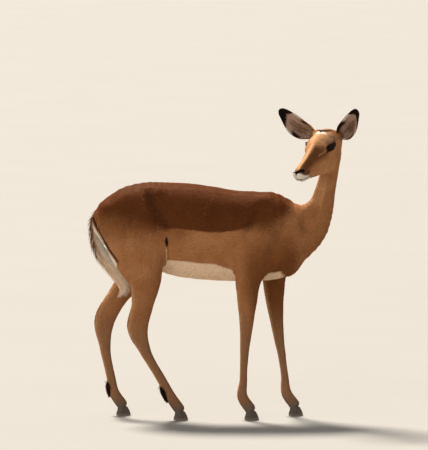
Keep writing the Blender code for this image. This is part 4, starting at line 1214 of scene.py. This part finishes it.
short_hair, nodes, shader = new_material("short coat hair", 0.60, Sheen_Weight=0.17,
                                         Sheen_Tint=(1.0, 0.30, 0.08, 1.0), **HAIR_GLOSS)
tones = place_group(nodes, coat_tones)
tuft = place_group(nodes, tuft_tones, Color=tones["Color"], Variety=0.32, Root_Shade=0.78)
relief = add_node(nodes, "Bump", Strength=0.25, Distance=0.0006, Height=tuft["Height"])
set_inputs(shader, Base_Color=tuft["Color"], Normal=relief)

# Tufts all over the hide but on the eyes, the lips and the bare nose; each joined piece is
# one stretch of the head, the legs or the body.
EYE_CLEAR = 0.0190
LIP_CLEAR = 0.0006
NOSE_CLEAR = -0.2
triangles = halves(skin_faces)
pick, share, roots, root_normals = plant(skin_points, skin_normals, triangles,
                                         hair_size(skin_points[triangles].mean(1)))
root_flat = between(halves(skin_map)[pick], share)
lie, size = lie_of(roots, root_normals), hair_size(roots)
on_skull = skull_places(roots)
bare = least(near_eye(on_skull), near_eye(skull_places(roots + lie * size[:, :1]))) < EYE_CLEAR
bare |= ((near_course(on_skull[:, 0], on_skull[:, 2], MOUTH) < LIP_CLEAR)
         & (np.linalg.norm(on_skull, axis=1) < HEAD_REACH))
bare |= nose_pad(on_skull) > NOSE_CLEAR
kept = np.flatnonzero(~bare)
head_apart = 10 * (np.linalg.norm(on_skull[kept] - MID_FACE, axis=1) < 0.16)
legs_apart = 5 * (roots[kept, 2] < 0.45)
order = kept[np.argsort(roots[kept, 0] + head_apart + legs_apart, kind="stable")]
roots, root_normals = roots[order], root_normals[order]
make_tufts("coat", roots + shift, root_normals, lie[order], size[order], root_flat[order],
           markings(roots, root_normals), short_hair)


# ---- Eyes --------------------------------------------------------------------------------------
# Glass eyes as set in a museum animal: a large dark brown ball with a bulging clear front and
# a long level pupil, held by thin black-rimmed lids with stiff lashes along the upper one.
EYE_SET = 0.0165
GAZE_AHEAD, GAZE_UP = math.radians(24.0), 0.04
CORNEA = (0.0011, math.radians(34.0))       # bulge, reach
BALL_RINGS, BALL_SIDES, POLE = 36, 48, 0.02
BACK_OF_BALL = (0.02, 0.02)                 # counted as well outside the pupil and the iris
PUPIL_HALF = (0.0062, 0.0030)
PUPIL_COLOUR, IRIS_DARK, IRIS_BROWN, EYE_WHITE = (
    (0.002, 0.002, 0.003, 1.0), (0.008, 0.0035, 0.0016, 1.0), (0.022, 0.0095, 0.004, 1.0),
    (0.050, 0.030, 0.022, 1.0))
LID_OPEN = (math.radians(56.0), math.radians(35.0), math.radians(27.0))   # corner, top, bottom
LID_SLANT = math.radians(12.0)
# Rows of a lid outwards from its edge: degrees further round the eye, how far off its surface,
# and how much of the way to the hide.
LID_ROWS = ((-1.0, -0.0010, 0.0), (0.0, 0.0006, 0.0), (2.0, 0.0013, 0.0), (5.0, 0.0016, 0.0),
            (9.0, 0.0017, 0.06), (13.0, 0.0012, 0.20), (18.0, 0.0014, 0.42), (24.0, 0.0010, 0.70),
            (30.0, 0.0005, 0.92), (36.0, 0.0, 1.05))
LID_SIDES = 72
LID_ROUND, LID_CORNER = 1.2, 0.75           # how round the opening is, how fast its corners widen
LID_GAP, LID_SINK, LID_REACH = 0.0009, 0.0004, 0.009
LID_HAIR = (0.0036, 0.0008, 0.0005, 1.3)
LASH_COUNT = 70
LASH = (0.0062, 0.0006, 0.0012)
ALL_MARKS = tuple(MARK_RAGGED) + ("upright",)


def eye_ways(side):
    """An eye's directions: out of it, towards its front corner, and up."""
    forward, left, up = head_frame()
    out = side * math.cos(GAZE_AHEAD) * left + math.sin(GAZE_AHEAD) * forward + GAZE_UP * up
    out.normalize()
    corner = (forward - forward.project(out)).normalized()
    corner.rotate(Quaternion(out, -side * LID_SLANT))
    return out, corner, (up - up.project(out) - up.project(corner)).normalized()


def only_marks(count, **shown):
    """Marks for pieces of one colour: all off but those given."""
    return {name: np.full(count, 0.0) + shown.get(name, NONE) for name in ALL_MARKS}


def ring_faces(rows, columns):
    """Four-sided faces round rows of points, each row a closed ring."""
    return [(row * columns + i, row * columns + (i + 1) % columns,
             (row + 1) * columns + (i + 1) % columns, (row + 1) * columns + i)
            for row in range(rows - 1) for i in range(columns)]


def closed_faces(rows, columns):
    """Faces round rows of points, with a flat face at either end."""
    return ring_faces(rows, columns) + [tuple(range(columns))[::-1],
                                        tuple(range((rows - 1) * columns, rows * columns))]


def face_outwards(obj):
    """Turns an object's faces to look outwards."""
    work = bmesh.new()
    work.from_mesh(obj.data)
    bmesh.ops.recalc_face_normals(work, faces=work.faces)
    work.to_mesh(obj.data)
    work.free()


def map_corners(obj, flat):
    """Gives an object its flat map from a place for each of its points."""
    set_map(obj, flat[np.array([loop.vertex_index for loop in obj.data.loops])])


glass_eye, nodes, shader = new_material("glass eye", 0.035, Specular_IOR_Level=0.07)
level, height = (
    reckon(nodes, "POWER", reckon(nodes, "DIVIDE", mark_of(nodes, "eye_" + way), half), 2.0)
    for way, half in zip(("level", "height"), PUPIL_HALF))
outward = reckon(nodes, "ADD", level, height)
pupil = add_node(nodes, "MapRange", interpolation_type="SMOOTHSTEP", Value=outward,
                 From_Min=0.7, From_Max=1.4)
iris = add_ramp(nodes, add_node(nodes, "TexNoise", Scale=900.0, Detail=3.0),
                (0.30, IRIS_DARK), (0.72, IRIS_BROWN))
rim = add_node(nodes, "MapRange", interpolation_type="SMOOTHSTEP",
               Value=reckon(nodes, "DIVIDE", outward, 4.2), From_Min=1.55, From_Max=2.2)
set_inputs(shader, Base_Color=mix(nodes, rim, mix(nodes, pupil, PUPIL_COLOUR, iris), EYE_WHITE))

hide_surface = BVHTree.FromPolygons([tuple(point) for point in skin_points + shift],
                                    [tuple(face) for face in skin_faces.tolist()])
for side, name in ((LEFT, "left"), (RIGHT, "right")):
    out, corner, above = (np.array(way) for way in eye_ways(side))
    middle = np.array(on_head(EYE_PLACE[0], side * EYE_PLACE[1], EYE_PLACE[2]) + move)
    points, spots = [], []
    for angle in np.linspace(POLE, math.pi - POLE, BALL_RINGS):
        radius = EYE_SET + CORNEA[0] * math.exp(-(angle / CORNEA[1]) ** 4)
        for turn in np.linspace(0.0, 2 * math.pi, BALL_SIDES, endpoint=False):
            a = radius * math.sin(angle) * math.cos(turn)
            b = radius * math.sin(angle) * math.sin(turn)
            points.append(middle + out * radius * math.cos(angle) + corner * a + above * b)
            spots.append((a, b) if angle < math.pi / 2 else BACK_OF_BALL)
    eye = add_object("glass_eye_" + name, points, closed_faces(BALL_RINGS, BALL_SIDES))
    face_outwards(eye)
    spots = np.array(spots)
    set_values(eye, {"eye_level": spots[:, 0], "eye_height": spots[:, 1]})
    eye.data.materials.append(glass_eye)
    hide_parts("eye_" + name)
    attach(eye, "root")

    points, ways, further_round = [], [], []
    for further, off, to_hide in LID_ROWS:
        spread = math.radians(further)
        for turn in np.linspace(0.0, 2 * math.pi, LID_SIDES, endpoint=False):
            rising = math.sin(turn)
            high = LID_OPEN[1] if rising > 0 else LID_OPEN[2]
            level = (LID_OPEN[0] + spread * LID_CORNER) * math.cos(turn)
            lift = math.copysign(abs(rising) ** LID_ROUND, rising) * high + spread * rising
            way = (out * math.cos(level) * math.cos(lift)
                   + corner * math.sin(level) * math.cos(lift) + above * math.sin(lift))
            hit = hide_surface.ray_cast(Vector(middle), Vector(way))[3] or EYE_SET
            hit = min(hit, EYE_SET + LID_REACH)
            reach = (EYE_SET + off) * (1 - to_hide) + (hit - LID_SINK) * to_hide
            if level ** 2 + lift ** 2 <= 1.4 and off >= 0:
                reach = max(reach, EYE_SET + LID_GAP)
            points.append(middle + way * reach)
            ways.append(way)
            further_round.append(further)
    points, ways, further_round = np.array(points), np.array(ways), np.array(further_round)
    faces = ring_faces(len(LID_ROWS), LID_SIDES)
    lids = add_object("lids_" + name, points, faces)
    face_outwards(lids)
    if normals_of(lids)[LID_SIDES * 3] @ ways[LID_SIDES * 3] < 0:
        lids.data.flip_normals()
    lid_normals = normals_of(lids)
    marks = markings(points - shift, lid_normals)
    marks["black"] = most(marks["black"], (6.5 - further_round) / 1.5)
    set_values(lids, marks)
    eye_flat = (np.array((0.25 + 0.5 * (side > 0), 0.05))
                + 0.9 * (np.stack((ways @ corner, ways @ above), axis=1) * 0.05))
    map_corners(lids, eye_flat)
    lids.data.materials.append(hide)
    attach(lids, "root")

    triangles = halves(np.array(faces))
    triangles = triangles[further_round[triangles].min(1) > 4.0]
    pick, share, roots, root_normals = plant(points, lid_normals, triangles, LID_HAIR)
    lie = lie_of(roots - shift, root_normals)
    tips = roots + lie * LID_HAIR[0] * 1.2 - middle
    kept = np.hypot(tips @ corner / math.sin(LID_OPEN[0]),
                    tips @ above / math.sin(LID_OPEN[1])) > 1.02 * EYE_SET
    roots, root_normals, lie = roots[kept], root_normals[kept], lie[kept]
    make_tufts("lid_coat_" + name, roots, root_normals, lie, np.tile(LID_HAIR, (len(roots), 1)),
               between(eye_flat[triangles[pick]], share)[kept],
               markings(roots - shift, root_normals), short_hair)

    seat = 2 * LID_SIDES + (draw.uniform(0.03, 0.47, LASH_COUNT) * LID_SIDES).astype(int)
    lash_lie = unit(ways[seat] + 0.45 * above + 0.20 * draw.normal(0, 1, (LASH_COUNT, 1)) * corner)
    lash_up = unit(above - lash_lie * (lash_lie @ above)[:, None])
    make_tufts("lashes_" + name, points[seat], -lash_up, lash_lie, np.tile(LASH, (LASH_COUNT, 1)),
               eye_flat[seat], only_marks(LASH_COUNT, black=FULL), short_hair)


# ---- Ears --------------------------------------------------------------------------------------
# Large cupped ears of gristle under thin hide: reddish hair outside, long pale hair inside, a
# black tip and dark front edge, and a fringe of light hairs round the rim.
EAR_ROOT, EAR_LENGTH, EAR_WALL, EAR_BEND = (-0.050, 0.042, 0.006), 0.180, 0.0030, 0.010
EAR_LEAN = {RIGHT: (0.76, 0.65, 0.12), LEFT: (0.70, 0.70, 0.11)}
EAR_TWIST = {RIGHT: math.radians(30), LEFT: math.radians(-10)}
# Along the ear: half width, half opening angle, shift towards the lower edge.
EAR_SHAPE = (
    (0.00, 0.0120, 150, 0.000), (0.13, 0.0180, 140, 0.003), (0.27, 0.0300, 112, 0.009),
    (0.42, 0.0350, 84, 0.012), (0.58, 0.0350, 66, 0.011), (0.76, 0.0270, 56, 0.006),
    (0.89, 0.0190, 50, 0.002), (0.96, 0.0130, 46, 0.001), (1.00, 0.0045, 44, 0.000),
)
EAR_ROWS, EAR_COLUMNS = 56, 22
EAR_HAIR = {"outside": (0.0060, 0.0013, 0.0008, 0.85), "inside": (0.0120, 0.0011, 0.0030, 0.75)}


def ear_frame(side):
    """Directions of an ear: along it, towards its lower edge, and out of its opening."""
    forward, left, up = head_frame()
    out, lift, ahead = EAR_LEAN[side]
    along = (side * out * left + lift * up + ahead * forward).normalized()
    facing = (forward - forward.project(along)).normalized()
    facing.rotate(Quaternion(along, EAR_TWIST[side]))
    return along, along.cross(facing) * side, facing


def ear_marks(along, across, inside):
    """The ear's marks: how far along and across it (-1 upper edge, 1 lower), outside or inside."""
    tip = (along - 0.80 + 0.12 * np.abs(across + 0.2) - 0.06 * (1 - inside)) / 0.025
    tip = most(tip, least((across - 0.70) / 0.10, (along - 0.70) / 0.05))
    upper = least((-across - 0.62) / 0.10, band(along, 0.06, 0.46, 0.04, 0.06))
    corner = least((across - 0.55) / 0.12, band(along, 0.26, 0.48, 0.05, 0.06))
    streaks = (0.35 * np.sin(across * 17.0 + 2.0 + 5.0 * along)
               + 0.35 * np.sin(across * 41.0 + 3.0 * np.sin(along * 7.0)))
    centre = np.hypot((along - 0.42) / 0.32, (across - 0.05) / 0.50)
    centre = 0.9 - centre ** 2 * 1.6 + 1.4 * streaks
    rim = np.where(across > 0, (across - 0.86) / 0.06,
                   least((-across - 0.80) / 0.07, (along - 0.48) / 0.05))
    hollow = inside > 0.5
    marks = only_marks(len(along), deep=0.2, upright=0.0)
    marks["black"] = most(tip, only(hollow, most(upper, corner)))
    marks["blaze_and_shade"] = np.where(hollow, least(centre, 0.5), (0.18 - along) / 0.05)
    marks["ear"] = only(hollow, FULL)
    marks["white"] = only(hollow, most(-0.85 + 0.6 * streaks, least(rim, 0.6)))
    marks["fawn_and_lit"] = np.where(hollow, NONE, -0.35)
    return in_range(marks)


def ear_flat(spots):
    """Flat places on an ear's map: its outside on one half, its inside on the other."""
    return np.stack((0.02 + 0.42 * (1 + spots[:, 1]) / 2 + 0.5 * spots[:, 2],
                     0.04 + 0.92 * spots[:, 0]), axis=1)


for side, name in ((LEFT, "left"), (RIGHT, "right")):
    along_way, lower_way, facing_way = (np.array(way) for way in ear_frame(side))
    root = np.array(on_head(EAR_ROOT[0], side * EAR_ROOT[1], EAR_ROOT[2]) + move)
    rows = smooth_rows([(t * EAR_LENGTH, 0.0, 0.0, half, cup, lower)
                        for t, half, cup, lower in EAR_SHAPE], EAR_LENGTH / (EAR_ROWS - 1) * 0.999)
    rows[:, 0] = np.minimum(rows[:, 0], EAR_LENGTH)
    points, spots = [], []
    for distance, _, _, half, cup, lower in rows:
        t = distance / EAR_LENGTH
        cup = math.radians(cup)
        radius = half / math.sin(min(cup, math.pi / 2))
        middle = (root + along_way * distance + lower_way * lower
                  + facing_way * EAR_BEND * math.sin(math.pi * t))
        centre = middle + facing_way * radius * math.cos(cup) * 0.6
        wall = EAR_WALL / 2 * min(1.0, 0.45 + 2.5 * (1 - t))
        for out_in, order in ((1, range(EAR_COLUMNS + 1)), (-1, range(EAR_COLUMNS, -1, -1))):
            for i in order:
                across = -1 + 2 * i / EAR_COLUMNS
                way = lower_way * math.sin(across * cup) - facing_way * math.cos(across * cup)
                thin = wall * math.sqrt(max(0.12, 1 - across ** 8))
                points.append(centre + way * max(radius + out_in * thin, 0.0003))
                spots.append((t, across, out_in < 0))
    points, spots = np.array(points), np.array(spots, float)
    faces = closed_faces(len(rows), 2 * EAR_COLUMNS + 2)
    ear = add_object("ear_hide_" + name, points, faces)
    set_values(ear, ear_marks(*spots.T))
    map_corners(ear, ear_flat(spots))
    face_outwards(ear)
    ear.data.materials.append(hide)
    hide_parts("ear_" + name)
    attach(ear, "root")

    triangles = halves(np.array(faces[:-2]))
    triangles = triangles[spots[triangles][:, :, 2].std(1) < 0.1]
    inside = spots[triangles[:, 0], 2] > 0.5
    size = np.where(inside[:, None], EAR_HAIR["inside"], EAR_HAIR["outside"])
    pick, share, roots, root_normals = plant(points, normals_of(ear), triangles, size)
    spot = between(spots[triangles[pick]], share)
    lie = (np.tile(along_way, (len(roots), 1))
           - (0.35 * spot[:, 1] * spot[:, 2])[:, None] * lower_way)
    lie = unit(lie - root_normals * np.sum(lie * root_normals, axis=1)[:, None])
    size = size[pick].copy()
    size[:, :3] *= (1.05 - 0.65 * rise(spot[:, 0], 0.60, 0.97))[:, None]
    size[:, 0] *= 1 - 0.45 * rise(np.abs(spot[:, 1]), 0.7, 1.0) * rise(spot[:, 0], 0.2, 0.4)
    make_tufts("ear_coat_" + name, roots, root_normals, lie, size, ear_flat(spot),
               ear_marks(*spot.T), short_hair)


# ---- Tail --------------------------------------------------------------------------------------
# The hanging tail: a slim core wrapped in long hair, dark down its back and white below and
# towards the brush.
TAIL = (                    # x, y, z, half depth, half width
    (-0.400, 0.000, 0.782, 0.010, 0.011), (-0.432, 0.002, 0.772, 0.014, 0.015),
    (-0.452, 0.003, 0.745, 0.015, 0.017), (-0.455, 0.005, 0.700, 0.015, 0.016),
    (-0.442, 0.006, 0.650, 0.020, 0.018), (-0.412, 0.006, 0.600, 0.027, 0.020),
    (-0.376, 0.004, 0.556, 0.029, 0.020), (-0.350, 0.002, 0.520, 0.026, 0.017),
    (-0.343, 0.000, 0.492, 0.019, 0.012), (-0.350, -0.001, 0.476, 0.009, 0.007),
)
TAIL_HAIR = (0.042, 0.0020, 0.0050, 1.6)
TAIL_TAPER = ((0, 0.12, 0.4, 0.8, 1.0), (0.35, 0.6, 1.0, 1.05, 0.7))
TAIL_CORE, TAIL_SPREAD = 0.72, 0.16


def tube_flat(spots):
    """Flat places on a tube's map, round and along it."""
    return np.stack((0.1 + 0.8 * spots[:, 1] / (2 * math.pi), 0.05 + 0.9 * spots[:, 0]), axis=1)


def tube(name, rows, step, sides, share=1.0):
    """A closed tube of ovals along rows; also how far along and round each corner is."""
    rows = smooth_rows(rows, step)
    points, spots = [], []
    for i, row in enumerate(rows):
        course = unit(rows[min(i + 1, len(rows) - 1)][:3] - rows[max(i - 1, 0)][:3])
        deep_way = unit(np.cross((0.0, 1.0, 0.0), course))
        wide_way = np.cross(course, deep_way)
        for k in range(sides):
            turn = 2 * math.pi * k / sides
            points.append(row[:3] + share * (math.cos(turn) * row[3] * deep_way
                                             + math.sin(turn) * row[4] * wide_way))
            spots.append((i / (len(rows) - 1), turn))
    points, spots = np.array(points), np.array(spots)
    faces = closed_faces(len(rows), sides)
    obj = add_object(name, points + shift, faces)
    face_outwards(obj)
    map_corners(obj, tube_flat(spots))
    obj.data.materials.append(hide)
    return obj, points, spots, np.array(faces[:-2]), rows


def tail_marks(spots):
    """Dark down the back of the tail, white under it and in the brush."""
    t, turn = spots.T
    back = np.cos(turn)
    marks = only_marks(len(t), deep=0.6, upright=1.0)
    marks["cream"] = np.clip((t - 0.16) / 0.10, -3, 2.0)
    marks["white"] = least((-back - 0.25) / 0.3, (t - 0.05) / 0.05) + 1.2 * (t - 0.7)
    marks["blaze_and_shade"] = least((back + 0.15) / 0.35, (0.46 - t) / 0.14)
    marks["blaze_and_shade"] = marks["blaze_and_shade"] + 0.5 * np.sin(9.0 * turn + 4.0 * t)
    marks["black"] = least((back - 0.86 + 0.25 * np.sin(14.0 * turn + 9.0 * t)) / 0.12,
                           (0.52 - t) / 0.12)
    return in_range(marks)


def hair_on_tube(obj, points, spots, quads, rows, size, taper, marks, spread):
    """Long hair rooted all over a tube, lying down along it and standing off by its spread."""
    triangles = halves(quads)
    pick, _, roots, root_normals = plant(points, normals_of(obj), triangles, size)
    spot = spots[triangles[pick, 0]]
    where = np.clip((spot[:, 0] * (len(rows) - 1)).astype(int), 0, len(rows) - 2)
    course = unit((rows[1:, :3] - rows[:-1, :3])[where])
    lie = unit(course - root_normals * (np.sum(course * root_normals, axis=1) - spread)[:, None])
    sizes = np.tile(size[:3], (len(roots), 1)) * np.interp(spot[:, 0], *taper)[:, None]
    make_tufts(obj.name + "_hair", roots + shift, root_normals, lie, sizes, tube_flat(spot),
               marks(spot), short_hair)


tail, points, spots, quads, rows = tube("tail_core", TAIL, 0.008, 24, TAIL_CORE)
set_values(tail, tail_marks(spots))
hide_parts("tail")
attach(tail, "root")
hair_on_tube(tail, points, spots, quads, rows, TAIL_HAIR, TAIL_TAPER, tail_marks,
             spread=TAIL_SPREAD)


# ---- Gland tufts -------------------------------------------------------------------------------
# The tuft of stiff black hair over the scent gland behind each hind fetlock.
TUFT = (                    # share of the way down the cannon, distance behind it, half depth
    (0.16, 0.011, 0.0060), (0.38, 0.013, 0.0105), (0.68, 0.015, 0.0120), (0.93, 0.018, 0.0080),
    (1.04, 0.021, 0.0035))
TUFT_WIDTH = 1.25
TUFT_HAIR = (0.020, 0.0011, 0.0028, 2.0)
TUFT_TAPER = ((0, 0.7, 1.0), (1.0, 1.0, 0.5))
TUFT_CORE, TUFT_SPREAD = 0.80, 0.04


def all_black(spots):
    """Black from root to tip."""
    return only_marks(len(spots), black=FULL)


for name in ("hind_right", "hind_left"):
    _, cannon, fetlock = (Vector(row[:3]) for row in leg_rows(name)[5:8])
    down = (fetlock - cannon).normalized()
    behind = Vector((0, 1, 0)).cross(down).normalized()
    course = [tuple(cannon.lerp(fetlock, t) + behind * out) + (deep, deep * TUFT_WIDTH)
              for t, out, deep in TUFT]
    core, points, spots, quads, rows = tube("gland_core_" + name[5:], course, 0.004, 18, TUFT_CORE)
    set_values(core, all_black(spots))
    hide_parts("gland_tuft_" + name[5:])
    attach(core, "root")
    hair_on_tube(core, points, spots, quads, rows, TUFT_HAIR, TUFT_TAPER, all_black,
                 spread=TUFT_SPREAD)


# ---- Hooves ------------------------------------------------------------------------------------
# Two horn claws to each foot, dark grey-brown and worn paler at the toe, with fine growth rings
# round them, divided by an open cleft.
HOOF_LENGTH, HOOF_HEIGHT, CLAW_WIDTH, CLEFT = 0.054, 0.036, 0.0185, 0.0030
CLAW_HEEL, CLAW_LEAN, CLAW_BOW, CLAW_TAPER, INNER_SWELL = 0.020, 0.22, 0.10, 0.42, 0.82
# Rings of a claw from the ground up: share of the height, length, width, shift forwards.
CLAW_RINGS = ((0.0, 0.975, 0.94, 0.0008), (0.03, 1.00, 1.00, 0.0), (0.11, 1.00, 1.02, 0.0),
              (0.26, 0.95, 1.02, 0.001), (0.45, 0.86, 1.00, 0.004), (0.62, 0.795, 0.965, 0.0050),
              (0.80, 0.73, 0.92, 0.0056), (0.91, 0.69, 0.88, 0.006), (0.97, 0.64, 0.80, 0.0070),
              (1.0, 0.54, 0.66, 0.0095))
CLAW_SIDES = 40
HORN_DARK, HORN_PALE, HORN_WORN = (
    (0.036, 0.026, 0.020, 1.0), (0.150, 0.108, 0.080, 1.0), (0.230, 0.180, 0.140, 1.0))
RING_SHARE, STREAK_SHARE = 0.13, 0.87
horn, nodes, shader = new_material("hoof horn", 0.45, Specular_IOR_Level=0.35)
place = add_node(nodes, "TexCoord", "Object")
rings = add_node(nodes, "TexWave", "Fac", wave_type="BANDS", bands_direction="Z", Vector=place,
                 Scale=46.0, Distortion=5.0, Detail=3.0)
stretched = add_node(nodes, "Mapping", Vector=place, Scale=(1.0, 1.0, 0.12))
streaks = add_node(nodes, "TexNoise", Vector=stretched, Scale=500.0, Detail=3.0)
wear = add_node(nodes, "MapRange", interpolation_type="SMOOTHSTEP",
                Value=add_node(nodes, "SeparateXYZ", "Z", Vector=place),
                From_Min=0.012, From_Max=0.0, To_Max=0.85)
tint = add_ramp(nodes, reckon(nodes, "MULTIPLY_ADD", rings, RING_SHARE,
                              reckon(nodes, "MULTIPLY", streaks, STREAK_SHARE)),
                (0.25, HORN_DARK), (0.85, HORN_PALE))
relief = add_node(nodes, "Bump", Strength=0.45, Distance=0.0004, Height=rings)
set_inputs(shader, Base_Color=mix(nodes, wear, tint, HORN_WORN), Normal=relief)

for name in STANCE:
    coronet = leg_rows(name)[-1]
    heel = coronet[0] - CLAW_HEEL
    for outer, word in ((-1, "inner"), (1, "outer")):
        way = side_of(name) * outer
        centre_y = coronet[1] + way * (CLAW_WIDTH + CLEFT) / 2
        points = []
        for height, length, width, forward_by in CLAW_RINGS:
            for k in range(CLAW_SIDES):
                turn = 2 * math.pi * k / CLAW_SIDES
                ahead = 0.5 - 0.5 * math.cos(turn)
                swell = math.sin(turn) * (1 - CLAW_TAPER * ahead ** 2)
                bulge = 1.0 if swell * way > 0 else INNER_SWELL
                half = CLAW_WIDTH * width / 2
                y = centre_y + half * swell * bulge - way * half * CLAW_BOW * ahead ** 3
                x = heel + forward_by + HOOF_LENGTH * length * ahead
                fall = CLAW_LEAN * height ** 2 * (x - heel - CLAW_HEEL)
                points.append((x, y, height * HOOF_HEIGHT - fall))
        claw = add_object(f"hoof_{name}_{word}", np.array(points) + shift,
                          closed_faces(len(CLAW_RINGS), CLAW_SIDES))
        face_outwards(claw)
        claw.data.materials.append(horn)
        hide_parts(f"{name}_claw_{word}")
        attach(claw, "root")
